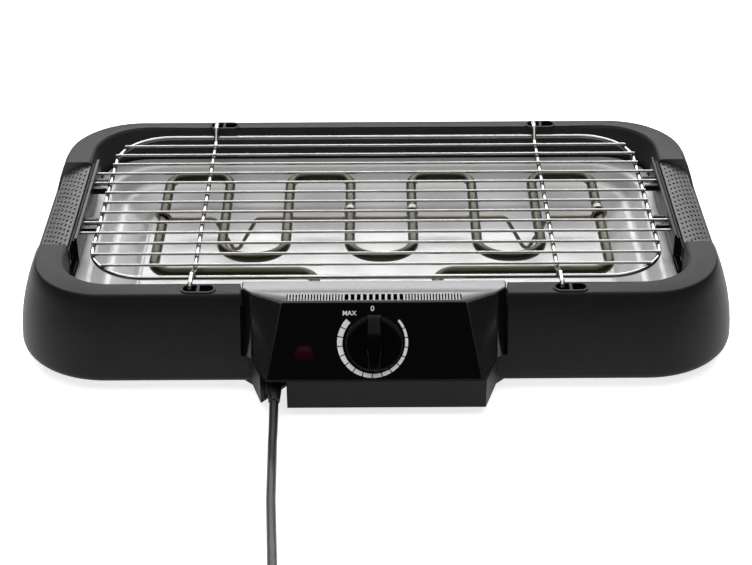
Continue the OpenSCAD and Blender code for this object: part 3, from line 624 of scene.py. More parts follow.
@dataclass
class MainsCord:
    """The mains cord from its sleeve to its plug, with the spare length in a coil."""

    diameter: float = 6.5
    route: tuple = (
        (-72, -186.1, 14.87), (-72, -189.9, 13.5), (-72, -197, 9.8), (-72, -206, 5.4), (-72, -218, 3.25),
        (-71.5, -232, 3.25), (-71, -248, 3.25), (-70.5, -264, 3.25), (-70, -280, 3.25), (-69, -296, 3.25),
        (-68, -312, 3.25), (-67, -328, 3.25), (-66, -344, 3.25), (-65, -360, 3.25), (-64.4, -376, 3.25),
        (-64, -392, 3.25), (-64, -403, 3.25),
    )
    coil_centre: tuple[float, float] = (-19.47, -416.0)
    coil_radius: float = 36.0
    layer_turns: float = 2.625
    turn_points: int = 24
    climb_turns: float = 0.4
    plug_at: tuple[float, float] = (4.53, -460.53)
    in_plug: float = 4.0
    plug_tail: float = 22.0
    plug_length: float = 38.0
    plug_radius: float = 17.0
    sleeve: tuple = ((-72, -172, 20), 20.0, 15.0)

    def coil(self) -> Array:
        """The spare length: in along the table, up a layer, and out again on top.

        The radius falls by one diameter a turn, r = outer - diameter * turns, and grows again on
        the second layer; the rise between the layers is a smooth step over climb_turns.
        """
        turns = np.arange(0, 2 * self.layer_turns + 1e-9, 1 / self.turn_points)
        outer = self.coil_radius + self.diameter * self.layer_turns / 2
        depth = self.layer_turns - np.abs(turns - self.layer_turns)
        a = np.pi + 2 * np.pi * turns
        rise = smooth_step((turns - self.layer_turns) / self.climb_turns + 0.5)
        r = outer - self.diameter * depth
        z = self.diameter / 2 + self.diameter * rise
        return np.stack([self.coil_centre[0] + r * np.cos(a), self.coil_centre[1] + r * np.sin(a), z], -1)

    def lead(self) -> Array:
        """The last stretch, down from the coil's top layer into the plug's tail."""
        x, y = self.plug_at
        t = np.linspace(0, 1, 7)[1:]
        along = self.coil_centre[0] + (x + self.in_plug - self.coil_centre[0]) * t
        return np.stack([along, np.full_like(t, y), self.diameter * (1.5 - 0.5 * smooth_step(t))], -1)

    def build(self) -> None:
        points = place(np.vstack([self.route, self.coil(), self.lead()]))
        curve = bpy.data.curves.new("mains_cord", "CURVE")
        curve.dimensions = "3D"
        spline = curve.splines.new("POLY")
        spline.points.add(len(points) - 1)
        spline.points.foreach_set("co", np.column_stack([points, np.ones(len(points))]).ravel())
        curve.bevel_depth, curve.bevel_resolution, curve.use_fill_caps = self.diameter / 2000, 4, True
        cord = settle("mains_cord", curve, CORD_PVC, Body.HEATING)
        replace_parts(cord, "cord_tube", "cord_coil")
        plug = self.build_plug()
        self.build_sleeve()

    def build_plug(self) -> bpy.types.Object:
        """The moulded round plug: a profile of radii turned about its axis, with a ribbed tail."""
        x, y = self.plug_at
        tail, end, radius = self.plug_tail, self.plug_tail + self.plug_length, self.plug_radius
        ribs = [(0, 3.6), (0.5, 5.2), (4, 5.5), (8, 5.0), (13, 5.6), (18, 5.2), (21, 6.0)]
        head = [(tail, 8.5), (tail + 2, 12.5), (tail + 6, 15.5), (tail + 14, 16.4), (tail + 26, 15.6)]
        s, r = np.array(ribs + head + [(end - 3, radius), (end - 1, radius - 0.6), (end, radius - 2.2)]).T
        blend = np.clip((s - 14) / 12, 0, 1)
        centre_z = np.maximum(self.diameter * (1 - blend) + radius * blend, np.maximum(r, 5.6))
        turn = circle(40)
        rings = np.stack([(x + s)[:, None] + 0 * turn[:, 0], y + r[:, None] * turn[:, 0],
                          centre_z[:, None] + r[:, None] * turn[:, 1]], -1)
        faces = capped(len(s), len(turn))
        plug = make_piece(
            "mains_plug", (rings.reshape(-1, 3), faces), CORD_PVC, Body.HEATING, 50
        )
        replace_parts(plug, "plug_body")
        return plug

    def build_sleeve(self) -> None:
        """The tapered strain relief: radii along its axis."""
        (x, y, z), tilt, length = self.sleeve
        taper = [(-14, 5.0), (0, 5.0), (3, 5.0), (6, 4.9), (9, 4.6), (12, 4.3)]
        s, r = np.array(taper + [(length - 0.6, 4.1), (length, 3.5)]).T
        way = np.array([0, -math.cos(math.radians(tilt)), -math.sin(math.radians(tilt))])
        path = np.array([x, y, z]) + s[:, None] * way
        tube = sweep(path, r, 28, (1, 0, 0))
        piece = make_piece("cord_sleeve", tube, CORD_PVC, Body.HEATING, 35)
        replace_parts(piece, "strain_relief")


# ---------------------------------------------------------------- housing and tray


@dataclass
class Housing:
    """The plastic frame and its feet."""

    edge: float = 0.5
    inner_edge: float = 2.6
    inner_x: float = 229.8
    inner_y: tuple[float, float] = (-123.0, 126.8)
    fade: float = 22.0
    gap_y: float = 66.0
    ledge_z: float = 40.0

    def build(self) -> None:
        """Dresses the frame and paints the feet."""
        shell = soften("frame", "frame_shell", FRAME_PLASTIC, Body.HOUSING, 0.0)
        self.paint_light_on_inner_walls(shell)
        self.round_inner_edge(shell)
        round_edges(shell, self.edge, 30.0)
        paint({f"foot_{a}_{b}": RUBBER for a in ("front", "rear") for b in ("left", "right")})

    def paint_light_on_inner_walls(self, shell: bpy.types.Object) -> None:
        """Gives the upright faces inside the opening, and the handle gaps' ends, the rougher finish whose
        colour is painted lighter: painted light on these walls.
        """
        shell.data.materials.append(INNER_WALL_PAINTED_LIGHT.material())
        for face in shell.data.polygons:
            x, y, z = grill_point(face.center)
            within = abs(x) < self.inner_x and self.inner_y[0] < y < self.inner_y[1] and z > self.ledge_z
            gap_end = abs(x) > self.inner_x - 2 and abs(abs(y) - self.gap_y) < 0.2
            upright = abs(face.normal.z) < 0.5
            if (within or gap_end) and upright:
                # painted light: these faces take the inner finish painted lighter
                face.material_index = 1

    def round_inner_edge(self, shell: bpy.types.Object) -> None:
        """Rounds the edge between the top and the inner wall; it fades out towards the front."""
        work = bmesh.new()
        work.from_mesh(shell.data)
        weight = work.edges.layers.float.new("bevel_weight_edge")
        for line in work.edges:
            at = grill_point([v.co for v in line.verts])
            inside = (np.abs(at[:, 0]) < self.inner_x).all() and (np.abs(at[:, 2] - FRAME_TOP) < 0.01).all()
            inside &= (self.inner_y[0] < at[:, 1]).all() and (at[:, 1] < self.inner_y[1]).all()
            if inside and line.calc_face_angle_signed(0) > math.radians(80):
                line[weight] = float(np.clip((at[:, 1].mean() - self.inner_y[0]) / self.fade, 0, 1))
        work.to_mesh(shell.data)
        work.free()
        bevel = shell.modifiers.new("inner edge", "BEVEL")
        bevel.width, bevel.segments, bevel.limit_method = self.inner_edge / 1000, 4, "WEIGHT"
        bevel.harden_normals, bevel.use_clamp_overlap = True, False


@dataclass
class DripTray:
    """The pressed tray: rim, sloping wall with a step, a groove round its foot, and a flat floor."""

    half_x: float = 226.1
    low_y: float = -119.6
    high_y: float = 123.1
    corner: float = 36.6
    rim: float = 9.0
    rim_z: float = 46.8
    floor_z: float = 17.8
    run: float = 30.0
    basin_corner: float = 46.0
    thickness: float = 0.8

    def height(self, inset: float) -> float:
        """Height of the upper face at a distance inside the outer edge.

        Smooth steps: the rim, a rolled shoulder, the wall with a shallow ledge in it, a narrow
        groove along its foot, and the floor.
        """
        rim, foot = self.rim, self.rim + self.run
        shoulder = [(0, 0), (rim - 0.6, 0), (rim + 0.6, -0.3), (rim + 2.4, -1.6)]
        ledge = [(rim + 9, -11.4), (rim + 11, -13.2), (rim + 14, -14.4), (rim + 16, -16.2)]
        groove = [(foot - 2.5, -26.4), (foot - 1, -28.4), (foot + 0.5, -30.4), (foot + 2, -30.4)]
        s, z = np.array(shoulder + ledge + groove + [(foot + 3, self.floor_z - self.rim_z)]).T
        return self.rim_z + np.interp(inset, s, z)

    def corner_at(self, inset: float) -> float:
        """Corner radius of the ring at a distance inside the outer edge."""
        if inset < self.rim:
            return self.corner + (self.basin_corner - self.corner) * inset / self.rim
        return max(self.basin_corner - (inset - self.rim), 6)

    def build(self) -> None:
        """Makes the tray from rings that run inwards and then close over the floor."""
        insets = np.linspace(0, self.rim + self.run + 8, 72)
        rings = []
        for inset in np.unique(np.concatenate([insets, [self.rim - 0.6, self.rim + 0.6]])):
            low, high = self.low_y + inset, self.high_y - inset
            ring = round_rectangle(self.half_x - inset, low, high, self.corner_at(inset), 14, 40)
            rings.append(np.column_stack([ring, np.full(len(ring), self.height(inset))]))
        last = rings[-1][:, :2]
        middle = np.array([0, (self.low_y + self.high_y) / 2])
        half = np.abs(last - middle).max(0)
        spine = middle + (last - middle) * np.array([(half[0] - half[1]) / half[0], 0.0])
        for t in np.linspace(0, 1, 24)[1:]:
            rings.append(np.column_stack([last + (spine - last) * t, np.full(len(last), self.floor_z)]))
        mesh = np.vstack(rings), quads(len(rings), len(last), True).tolist()
        tray = make_piece("pressed_tray", mesh, TRAY_STEEL, Body.TRAY, 60, False)
        wall = tray.modifiers.new("sheet", "SOLIDIFY")
        wall.thickness, wall.offset = self.thickness / 1000, -1.0
        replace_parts(tray, "tray")


# ---------------------------------------------------------------- heating element


@dataclass
class HeatingElement:
    """The sheathed tube in its eight legs, the support wire below it and its clips."""

    tube: float = 8.0
    pitch: float = 49.0
    shift: float = 4.4
    z: float = 52.5
    back_y: float = 80.0
    front_y: float = -50.0
    run_y: float = -72.0
    end_x: float = 45.0
    end_y: float = -117.4
    arch: float = 15.0
    loop: float = 22.0
    support: float = 3.0
    support_y: float = 20.0
    clip_shift: float = -3.3
    foot_reach: float = 17.0
    foot_shift: float = 7.0
    foot_gap: float = 0.3
    lean: float = 8.0
    wrap_lean: float = 11.0
    wrap_turn: tuple[float, float] = (-375.0, -90.0)
    floor_z: float = 17.8

    def leg(self, i: int) -> float:
        """Position of leg i along X."""
        return self.shift + (i - 3.5) * self.pitch

    def build(self) -> None:
        """Makes tube and support wire and paints the fixings."""
        tube = sweep(self.tube_path(), self.tube / 2, 20, (0, 0, 1))
        piece = make_piece("heating_tube", tube, HEATER_STEEL, Body.HEATING, 60)
        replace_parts(piece, "heater_tube")
        wire = sweep(self.support_path(), self.support / 2, 14, (0, 1, 0))
        piece = make_piece("support_wire", wire, SUPPORT_STEEL, Body.HEATING, 60)
        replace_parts(piece, "heater_support")
        for i in (1, 2, 3):
            clip = soften(f"clip_{i}", f"wire_clip_{i}", CLIP_STEEL, Body.HEATING, 0.0)
            clip.data.transform(Matrix.Translation((0, self.clip_shift / 1000, 0)))
        paint({"bush_left": CERAMIC, "bush_right": CERAMIC, "terminal_left": PLAIN_STEEL,
               "terminal_right": PLAIN_STEEL, "heat_shield": PLAIN_STEEL})

    def tube_path(self) -> Array:
        """The tube's centre line: a run from the box, eight legs with arches between, a run back."""
        corners, radii = [(-self.end_x, self.end_y), (-self.end_x, self.run_y)], [0, self.arch]
        for i in range(4):
            first, last = self.leg(2 * i), self.leg(2 * i + 1)
            start, start_radius = (self.run_y, self.arch) if i == 0 else (self.front_y, self.loop)
            end, end_radius = (self.run_y, self.arch) if i == 3 else (self.front_y, self.loop)
            corners += [(first, start), (first, self.back_y), (last, self.back_y), (last, end)]
            radii += [start_radius, self.arch, self.arch, end_radius]
        corners += [(self.end_x, self.run_y), (self.end_x, self.end_y)]
        radii += [self.arch, 0]
        return spaced(bent([(x, y, self.z) for x, y in corners], radii, 12), 12)

    def support_path(self) -> Array:
        """The wire's centre line: wraps round the outer legs, and two feet down to the tray."""
        around = (self.tube + self.support) / 2
        y, level = self.support_y, self.z - around
        low = self.floor_z + self.support / 2 + self.foot_gap
        points, bends = [(self.leg(0), y, level)], [0]
        for x in (self.leg(1) + self.foot_shift, self.leg(6) - self.foot_shift):
            near, far = x - self.foot_reach, x + self.foot_reach
            points += [(near, y, level), (x, y - self.lean, low), (far, y, level)]
            bends += [5, 4, 5]
        points.append((self.leg(7), y, level))
        a = np.radians(np.linspace(*self.wrap_turn, 28))[:-1]
        back = -self.wrap_lean * np.clip(np.linspace(1.45, 0, len(a)), 0, 1)
        wrap = np.stack([around * np.cos(a), back, around * np.sin(a)], -1)
        first = wrap + (self.leg(0), y, self.z)
        last = (wrap * (-1, 1, 1))[::-1] + (self.leg(7), y, self.z)
        return np.vstack([first, spaced(bent(points, bends + [0], 7), 15), last])


# ---------------------------------------------------------------- control box


@dataclass
class ControlBox:
    """Shells, glossy panel with its printed dial, lamp and knob."""

    panel_at: tuple[float, float, float] = (-1.5, -165.25, 52.25)
    tilt: float = 40.0
    knob_drop: float = 2.0
    ring_radius: float = 24.9
    ring_shift: tuple[float, float] = (-1.1, 0.85)
    ring_start: float = 48.7
    ring_end: float = 313.0
    ring_thin: float = 1.7
    ring_thick: float = 4.1
    segments: int = 16
    gap: float = 0.8
    ink: float = 0.06
    ink_spread: float = 0.09
    knob_radius: float = 20.0
    knob_height: float = 14.0
    skirt: float = 5.0
    shaft_radius: float = 2.95
    shaft_z: tuple[float, float] = (-12.4, 4.6)
    grip_half: float = 6.3
    grip_waist: tuple[float, float] = (0.36, 0.2)
    grip_fall: tuple[float, float] = (3.2, 6.0)
    grip_margin: float = 0.9
    lift: float = 0.6
    lamp_at: tuple[float, float] = (-49.0, -8.0)
    half_x: float = 94.5
    back_y: float = -120.2
    seam_z: float = 30.5
    front_corner: tuple = ((76.0, -183.5), (66.0, -147.0))
    ridge_y: tuple[float, float] = (-154.87, -136.5)
    shoulder: float = 7.0
    panel_length: float = 56.79
    top_edge: float = 1.8
    proud: float = 0.35
    wall: float = 2.0
    plate: float = 1.6
    recess: float = 1.3
    shell_edge: float = 0.25
    lower_edge: float = 0.3
    panel_edge: float = 0.25
    vent_y: float = -146.1
    vent_length: float = 8.0
    vent_pitch: float = 2.15
    lead_hole: tuple[float, float, float] = (45.0, 52.5, 4.2)
    post_x: float = 58.0
    posts: tuple = ((10.0, 71.8), (26.0, 66.0))
    post_radius: float = 4.0
    spindle_hole: float = 5.2
    lamp_hole: float = 5.7
    lamp_radius: float = 5.5
    lamp_stretch: float = 1.5
    words: tuple = (("dial_off", "0", 5.2, (-1.1, 21.1)), ("dial_full", "MAX", 4.55, (-17.3, 18.1)))

    def on_panel(self, points: Array) -> Array:
        """Carries points from the panel's own plane, Z out of it, to the grill's frame."""
        a = math.radians(90 - self.tilt)
        x, y, z = np.asarray(points, float).T
        turned = np.stack([x, y * math.cos(a) - z * math.sin(a), y * math.sin(a) + z * math.cos(a)], -1)
        return turned + np.array(self.panel_at)

    def build(self) -> None:
        """Makes every piece of the box."""
        self.build_shell()
        soften("box_lower", "lower_shell", FRAME_PLASTIC, Body.HEATING, self.lower_edge)
        soften("fascia", "gloss_panel", GLOSS_BLACK, Body.HEATING, self.panel_edge)
        self.build_dial()
        self.build_words()
        self.build_lamp()
        self.build_knob()
        paint({"thermostat": PHENOLIC, "spindle_nut": PLAIN_STEEL, "lamp_body": PLAIN_STEEL,
               "terminal_block": CERAMIC, **{f"screw_{i}": PLAIN_STEEL for i in range(1, 5)}})

    def ring(self, z: float, inset: float, panel_inset: float, shut_y: float) -> Array:
        """The upper shell's outline at a height.

        The front corner and the ridge behind it each run along a straight line from the seam to
        the top, so the side between them is a ruled surface.

        Args:
            z: the height.
            inset: depth behind the sides.
            panel_inset: depth behind the panel, square to it.
            shut_y: where the outline ends at the back.
        Returns:
            The outline from the back on the left to the back on the right.
        """
        t = (z - self.seam_z) / (FRAME_TOP - self.seam_z)
        low, high = np.array(self.front_corner)
        front = low + (high - low) * t
        ridge_low, ridge_high = self.ridge_y
        ridge = np.array([self.half_x - self.shoulder, ridge_low + (ridge_high - ridge_low) * t])
        ahead = np.array([front[0], front[1] + panel_inset / math.cos(math.radians(self.tilt))])
        edges = [(np.array([self.half_x - inset, 0.0]), np.array([0.0, -1.0]))]
        for start, end in ((ridge + self.shoulder, ridge), (ridge, front)):
            way = (end - start) / np.linalg.norm(end - start)
            edges.append((start + inset * np.array([way[1], -way[0]]), way))
        edges.append((ahead, np.array([-1.0, 0.0])))
        half = [(self.half_x - inset, shut_y)] + [meet(*a, *b) for a, b in zip(edges[:-1], edges[1:])]
        line = [(-a, b) for a, b in half] + half[::-1]
        radii = [0, 2.0, 3.5, 0.5]
        return bent(line, radii + radii[::-1], 5) + (self.panel_at[0], 0)

    def skin(self, heights: Array, insets: Array, panel_insets: Array, shut_y: float) -> Mesh:
        """A closed solid through the outlines at several heights."""
        rings = []
        for z, inset, panel_inset in zip(heights, insets, panel_insets):
            line = self.ring(z, inset, panel_inset, shut_y)
            rings.append(np.column_stack([line, np.full(len(line), z)]))
        return np.vstack(rings), capped(len(rings), len(rings[0]))

    def build_shell(self) -> None:
        """The upper shell: outer skin less inner skin, panel recess, vents and holes."""
        a, edge = np.linspace(0, np.pi / 2, 6), self.top_edge
        straight = np.linspace(self.seam_z, FRAME_TOP - edge - 0.5, 12)
        heights = np.concatenate([straight, FRAME_TOP - edge * (1 - np.sin(a))])
        insets = np.concatenate([np.zeros(12), edge * (1 - np.cos(a))])
        outer = self.skin(heights, insets, 0.3 * insets - self.proud, self.back_y)
        heights, ones = np.linspace(self.seam_z - 1, FRAME_TOP - self.wall, 10), np.ones(10)
        inner = self.skin(heights, self.wall * ones, (self.wall + self.plate) * ones, self.back_y - self.wall)
        windows = [self.panel_window(), *self.vents(), *self.lead_holes()]
        shell = carve(outer, [inner, join_meshes(windows), join_meshes(self.panel_holes())])
        shape = join_meshes([shell, *self.screw_posts()])
        piece = make_piece("upper_shell", shape, SHELL_PLASTIC, Body.HEATING, 28)
        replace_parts(piece, "box_upper")
        round_edges(piece, self.shell_edge, 40)

    def panel_window(self) -> Mesh:
        """The cut that the glossy panel lies in."""
        low, high = (corner[0] - self.recess for corner in self.front_corner)
        reach = self.panel_length / 2 - self.recess
        plate = np.array([(-low, -reach), (low, -reach), (high, reach), (-high, reach)])
        points, faces = extrude(plate, -self.plate, 20)
        return self.on_panel(points), faces

    def vents(self) -> list[Mesh]:
        """The cuts of the vents: ten wide slots in the middle, nineteen narrow ones each side."""
        x0, pitch, near, far = self.panel_at[0], self.vent_pitch, self.vent_y, self.vent_y + self.vent_length
        slots = [(x0 + (i - 5) * 2 * pitch + 0.8, 2.7) for i in range(10)]
        slots += [(x0 + s * (10.5 + i) * pitch - 0.5, 1.0) for s in (-1, 1) for i in range(19)]
        outlines = [np.array([(x, near), (x + w, near), (x + w, far), (x, far)]) for x, w in slots]
        return [extrude(outline, FRAME_TOP - 5, FRAME_TOP + 5) for outline in outlines]

    def lead_holes(self) -> list[Mesh]:
        """The cuts through the back wall for the tube's ends."""
        x, z, radius = self.lead_hole
        ways = [np.array([(s * x, self.back_y - 6, z), (s * x, self.back_y + 4, z)]) for s in (-1, 1)]
        return [sweep(way, radius, 28, (0, 0, 1)) for way in ways]

    def panel_holes(self) -> list[Mesh]:
        """The cuts through the shell's front for the spindle and the lamp."""
        disc = circle(40)
        spindle = disc * self.spindle_hole + (0, -self.knob_drop)
        lamp = disc * self.lamp_hole + np.sign(disc) * (self.lamp_stretch, 0) + self.lamp_at
        cuts = [extrude(shape, -12, -1) for shape in (spindle, lamp)]
        return [(self.on_panel(points), faces) for points, faces in cuts]

    def screw_posts(self) -> list[Mesh]:
        """The four posts inside the shell that the screws hold."""
        made = []
        for x in (self.panel_at[0] - self.post_x, self.panel_at[0] + self.post_x):
            for back, top in self.posts:
                y = self.back_y - back
                way = np.array([(x, y, self.seam_z + 2), (x, y, top)])
                made.append(sweep(way, self.post_radius, 24, (1, 0, 0)))
        return made

    def build_dial(self) -> None:
        """The printed scale: segments of a ring whose inner radius shrinks towards its end."""
        span = self.ring_end - self.ring_start
        step, margin = span / self.segments, math.degrees(self.gap / self.ring_radius / 2)
        parts = []
        for i in range(self.segments):
            start = self.ring_start + i * step
            turn = np.linspace(start + margin, start + step - margin, 9)
            share = (turn - self.ring_start) / span
            inner = self.ring_radius - self.ring_thin - (self.ring_thick - self.ring_thin) * share
            way = np.stack([np.sin(np.radians(turn)), np.cos(np.radians(turn))], -1)
            outline = np.vstack([way * self.ring_radius, (way * inner[:, None])[::-1]])
            outline = outline + self.ring_shift + (0, -self.knob_drop)
            points, faces = extrude(outline[::-1], 0.0, self.ink)
            parts.append((self.on_panel(points), faces))
        make_piece("dial_scale", join_meshes(parts), PRINT_WHITE, Body.HEATING, 30)

    def build_words(self) -> None:
        """The nought over the knob and the word at the scale's strong end."""
        for name, words, size, at in self.words:
            text = bpy.data.curves.new(name, "FONT")
            text.body, text.size, text.align_x, text.extrude = words, size, "CENTER", self.ink
            text.offset = self.ink_spread
            shown = link(name, text)
            bpy.context.view_layer.update()
            points, faces = shown_mesh(shown)
            bpy.data.objects.remove(shown)
            laid = self.on_panel(points + (*at, 0.0))
            settle(name, raw_mesh(name, (place(laid), faces)), PRINT_WHITE, Body.HEATING)

    def build_lamp(self) -> None:
        """The lens: a rounded oblong dome with a flat rim, a grid of radius and angle."""
        rim = [(1.0, -3.8), (1.0, 0.9), (0.96, 1.2), (0.88, 1.2)]
        rows = rim + [(0.82, 0.5), (0.72, 0.6), (0.45, 1.1), (0.02, 1.3)]
        ring = self.lamp_radius * circle(48)
        ring[:, 0] += self.lamp_stretch * np.clip(4 * circle(48)[:, 0], -1, 1)
        points = [np.column_stack([ring * share + self.lamp_at, np.full(len(ring), z)]) for share, z in rows]
        mesh = self.on_panel(np.vstack(points)), capped(len(rows), len(ring))
        lens = make_piece("lamp_cap", mesh, LAMP_RED, Body.HEATING, 25)
        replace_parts(lens, "lamp_lens")

    def build_knob(self) -> None:
        """The knob: skirt, grip and shaft in one."""
        shaft = sweep(np.array([(0, 0, z) for z in self.shaft_z]), self.shaft_radius, 20, (0, 1, 0))
        points, faces = join_meshes([self.knob_skirt(), self.knob_grip(), shaft])
        mesh = self.on_panel(points + (0, -self.knob_drop, 0)), faces
        piece = make_piece("dial_knob", mesh, KNOB_PLASTIC, Body.KNOB, 35)
        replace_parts(piece, "knob")

    def knob_skirt(self) -> Mesh:
        """A turned disc with a soft shoulder: rings of a radius and a height."""
        r, low, top = self.knob_radius, self.lift, self.lift + self.skirt
        rows = [(9, low), (r - 0.6, low), (r, low + 0.6), (r - 0.3, low + 3.6), (r - 1.0, low + 4.6),
                (r - 2.2, top), (r - 6, top - 0.3), (3.0, top - 0.5)]
        turn = circle(72)
        points = [np.column_stack([radius * turn, np.full(len(turn), z)]) for radius, z in rows]
        return np.vstack(points), capped(len(rows), len(turn))

    def knob_grip(self) -> Mesh:
        """A waisted finger grip across the skirt: one cross-section scaled along its length."""
        t = np.linspace(-1, 1, 41)
        base = self.lift + self.skirt - 1
        (near, far), (near_fall, far_fall) = self.grip_waist, self.grip_fall
        narrowing = near * np.clip(-t, 0, 1) ** 1.6 + far * np.clip(t, 0, 1) ** 1.6
        y = t * (self.knob_radius - self.grip_margin)
        width = np.minimum(self.grip_half * (1 - narrowing), np.sqrt(self.knob_radius**2 - y * y))
        top = self.knob_height + self.lift - np.where(t > 0, far_fall, near_fall) * np.abs(t) ** 3
        half = [(-1.0, 0.0), (-0.98, 0.62), (-0.9, 0.86), (-0.74, 0.95), (-0.5, 0.9)]
        section = np.array(half + [(0, 0.87)] + [(-x, z) for x, z in half[::-1]])
        rings = np.stack([width[:, None] * section[:, 0], y[:, None] + 0 * section[:, 0],
                          base + (top - base)[:, None] * section[:, 1]], -1)
        return rings.reshape(-1, 3), capped(len(t), len(section))


# ---------------------------------------------------------------- rack


class Side(Enum):
    """The two ends of the rack."""

    LEFT = -1
    RIGHT = 1


@dataclass
class Rack:
    """The wire rack with its handles."""

    half_x: float = 211.0
    front: float = -105.0
    back: float = 120.0
    corner: float = 42.0
    wire: float = 3.5
    wire_z: float = 68.05
    bar: float = 2.2
    bar_z: float = 70.9
    bar_pitch: float = 15.9
    first_bar: float = 13.5
    bars: int = 13
    long_bars: tuple[int, ...] = (3, 4, 8, 9)
    cross_x: float = 132.5
    socket_y: float = 130.4
    plate_x: float = 223.0
    lip_x: float = 229.0
    grip_length: float = 130.4
    field_x: tuple[float, float] = (231.0, 251.6)
    field_steps: int = 7
    shell: float = 2.6
    hole_pitch: float = 6.8
    hole_rows: int = 6
    hole: tuple[float, float] = (0.95, 1.45)
    sink: float = 2.5
    ribs: tuple = ((225.2, 73.0), (226.7, 73.0))
    rib_y: tuple[float, float] = (-59.4, 65.0)
    rib_foot: float = 58.4
    rib_wall: float = 1.1
    cross_over: float = FRAME_TOP + 2.95
    cross_foot: float = 61.05
    climb: float = 9.0
    nub_reach: float = 1.5
    weld_rise: float = 0.15
    weld_spread: float = 14.0
    arm_edge: float = 1.2
    rib_edge: float = 0.3

    def bar_y(self, i: int) -> float:
        """Position of bar i along Y, counted from the front."""
        return self.front + self.first_bar + i * self.bar_pitch

    def build(self) -> None:
        """Makes wires, bars and both handles."""
        ring = round_rectangle(self.half_x, self.front, self.back, self.corner, 20, 12)
        path = np.column_stack([ring, np.full(len(ring), self.wire_z)])
        keep = np.linalg.norm(path - np.roll(path, 1, 0), axis=1) > 1e-6
        self.build_wire("rack_edge", "rack_outline", sweep(path[keep], self.wire / 2, 16, (0, 0, 1), True))
        for side in Side:
            self.build_cross(side)
            self.build_handle(side)
        for i in range(self.bars):
            self.build_bar(i)

    def build_wire(self, name: str, node: str, mesh: Mesh) -> None:
        """Makes a plated wire in place of a node."""
        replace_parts(make_piece(name, mesh, CHROME_WIRE, Body.RACK, 60), node)

    def build_cross(self, side: Side) -> None:
        """A cross wire: under the bars, over the edge wire and the frame, down into the sockets."""
        over, low, end, flat = self.cross_over, self.cross_foot, self.socket_y, self.wire_z
        name = side.name.lower()
        points = [(-end, low), (-end, over), (self.front - self.climb, over), (self.front + self.climb, flat),
                  (self.back - self.climb, flat), (self.back - 1, over), (end, over), (end, low)]
        line = bent([(side.value * self.cross_x, y, z) for y, z in points], [0, 3.5, 5, 5, 4, 3, 3.5, 0], 9)
        wire = sweep(spaced(line, 14), self.wire / 2, 16, (1, 0, 0))
        self.build_wire(f"rack_cross_{name}", f"cross_wire_{name}", wire)

    def bar_reach(self, i: int) -> float:
        """Half the length of bar i, which ends on the edge wire or in the handles' inner plates."""
        if i in self.long_bars:
            return self.plate_x
        inset = min(self.bar_y(i) - self.front, self.back - self.bar_y(i))
        past = max(0, self.corner - inset)
        return self.half_x + self.nub_reach + math.sqrt(self.corner**2 - past**2) - self.corner

    def build_bar(self, i: int) -> None:
        """A bar: its height has a small rise at the cross wires, and its ends have welded nubs."""
        reach = self.bar_reach(i)
        x = np.linspace(-reach, reach, 121)
        rise = self.weld_rise * np.exp(-((np.abs(x) - self.cross_x) ** 2) / self.weld_spread)
        path = np.column_stack([x, np.full_like(x, self.bar_y(i)), self.bar_z + rise])
        radius = np.full(len(x), self.bar / 2)
        if i not in self.long_bars:
            radius[[0, 1, -2, -1]] *= (0.8, 1.2, 1.2, 0.8)
        self.build_wire(f"rack_bar_{i + 1:02d}", f"bar_{i + 1:02d}", sweep(path, radius, 12, (0, 1, 0)))

    def crown(self, x: Array) -> Array:
        """Height of the handle's top at x: it falls away outwards, z = top - 8 * share ** 1.7."""
        share = np.clip((x - self.lip_x) / 23, 0, 1.2)
        return FRAME_TOP - self.sink - 8 * share**1.7

    def build_handle(self, side: Side) -> None:
        """A handle: hollow shell, lengthwise ribs, and a staggered field of small round pits."""
        name, half = side.name.lower(), self.grip_length / 2
        before, profile = self.handle_profile()
        n = len(profile)
        rows = np.array([[(x, y, z) for x, z in profile] for y in np.linspace(-half, half, 23)])
        faces = capped(len(rows), n)
        on_field = range(before, before + self.field_steps)
        faces = [face for face in faces if len(face) > 4 or face[0] % n not in on_field]
        points, faces = join_meshes([(rows.reshape(-1, 3), faces), self.pits(half)])
        mesh = points * (side.value, 1, 1), faces
        piece = make_piece(f"grip_{name}", mesh, HANDLE_PLASTIC, Body.RACK, 30)
        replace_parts(piece, f"handle_{name}")
        soften(
            f"arms_{name}", f"rack_holder_{name}", HOLDER_PLASTIC, Body.RACK, self.arm_edge
        )
        self.build_ribs(side)

    def handle_profile(self) -> tuple[int, Array]:
        """The handle's cross-section in X and Z, and how many points come before the pitted field."""
        lip, (near, far) = self.lip_x, self.field_x
        lower = [(lip, 55.0), (lip, 68.0), (lip + 0.8, 68.0), (lip + 0.9, self.crown(lip + 0.9))]
        field = [(x, self.crown(x)) for x in np.linspace(near, far, self.field_steps + 1)]
        toe = [(252.5, 62.8), (252.6, 60.5), (250, 60.5), (249.4, 62.2)]
        under = [(x, self.crown(x) - self.shell) for x in np.linspace(248, near + 0.6, 8)]
        return len(lower), np.array(lower + field + toe + under + [(near + 0.6, 55.0)])

    def build_ribs(self, side: Side) -> None:
        """Two thin walls that stand along the channel between the handle and its inner plate."""
        name = side.name.lower()
        parts = []
        for x, top in self.ribs:
            (front, back), far = self.rib_y, x + self.rib_wall
            edge = np.array([(x, front), (far, front), (far, back), (x, back)])
            parts.append(extrude(edge, self.rib_foot, top))
        points, faces = join_meshes(parts)
        mesh = points * (side.value, 1, 1), faces
        piece = make_piece(f"holder_ribs_{name}", mesh, FRAME_PLASTIC, Body.RACK, 30)
        round_edges(piece, self.rib_edge)

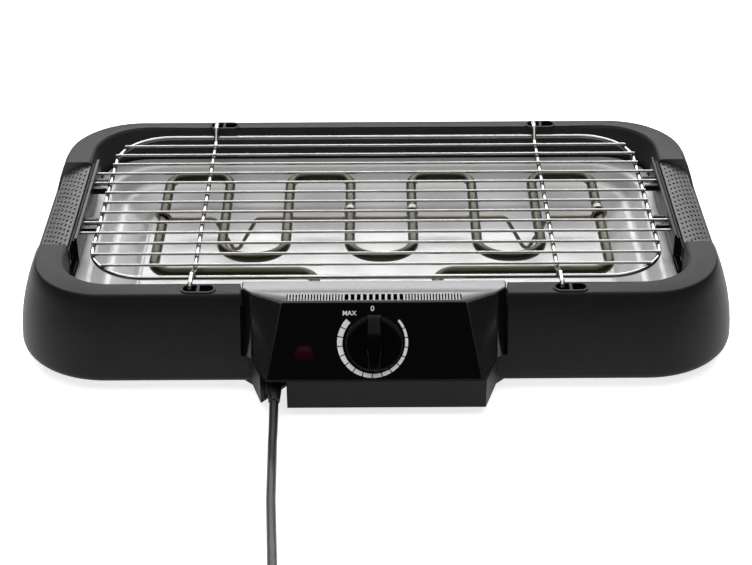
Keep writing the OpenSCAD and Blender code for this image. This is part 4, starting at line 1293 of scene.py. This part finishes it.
    def pits(self, half: float) -> Mesh:
        """The pitted field: oblong cells in staggered rows, each with a round pit in it.

        A cell's eight outer points lie on its oblong, the next eight on the pit's rim, and the
        last eight on its floor. All cells are made at once, and the crown gives their height.
        """
        rows, (low_x, high_x) = self.hole_rows, self.field_x
        across = (high_x - low_x) / rows
        count = int(round(2 * half / self.hole_pitch))
        along = 2 * half / count
        square = np.array([(1, 0), (1, 1), (0, 1), (-1, 1), (-1, 0), (-1, -1), (0, -1), (1, -1)]) / 2
        pit = circle(8) * self.hole
        cell = np.vstack([square * (across, along), pit, pit * 0.85])
        sink = np.repeat([0.0, 0.0, -1.9], 8)
        row, place_in = np.meshgrid(np.arange(rows), np.arange(count), indexing="ij")
        odd = row % 2 == 1
        keep = ~(odd & (place_in == count - 1))
        x = (low_x + (row + 0.5) * across)[keep]
        y = (-half + (place_in + 0.5 + 0.5 * odd) * along)[keep]
        grid = np.stack([x, y], -1)[:, None] + cell[None]
        z = self.crown(grid[..., 0]) + sink
        points = np.concatenate([grid, z[..., None]], -1).reshape(-1, 3)
        k = np.arange(8)
        ring = np.stack([k, (k + 1) % 8, 8 + (k + 1) % 8, 8 + k], -1)
        one = np.vstack([ring, ring + 8])
        faces = (np.arange(len(x))[:, None, None] * 24 + one[None]).reshape(-1, 4).tolist()
        faces += (np.arange(len(x))[:, None] * 24 + 16 + k).tolist()
        first = len(points)
        ends, end_faces = [], []
        for r in range(1, rows, 2):
            x0, x1 = low_x + r * across, low_x + (r + 1) * across
            for end, inner in ((-half, along / 2 - half), (half, half - along / 2)):
                corners = ((x0, end), (x1, end), (x1, inner), (x0, inner))
                end_faces.append([first + len(ends) + j for j in range(4)])
                ends += [(x, y, self.crown(x)) for x, y in corners]
        return np.vstack([points, np.array(ends)]), faces + end_faces


def main() -> None:
    """Builds the scene: camera and cord first, then each sub-assembly."""
    logging.basicConfig(level=logging.INFO, format="%(message)s")
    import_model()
    studio = Studio()
    studio.set_camera()
    for part in (MainsCord(), Housing(), DripTray(), HeatingElement(), ControlBox(), Rack()):
        part.build()
        LOG.info("built %s", type(part).__name__)
    paint({"plug_pin_1": NICKEL, "plug_pin_2": NICKEL})
    studio.light()


if __name__ == "__main__":
    main()
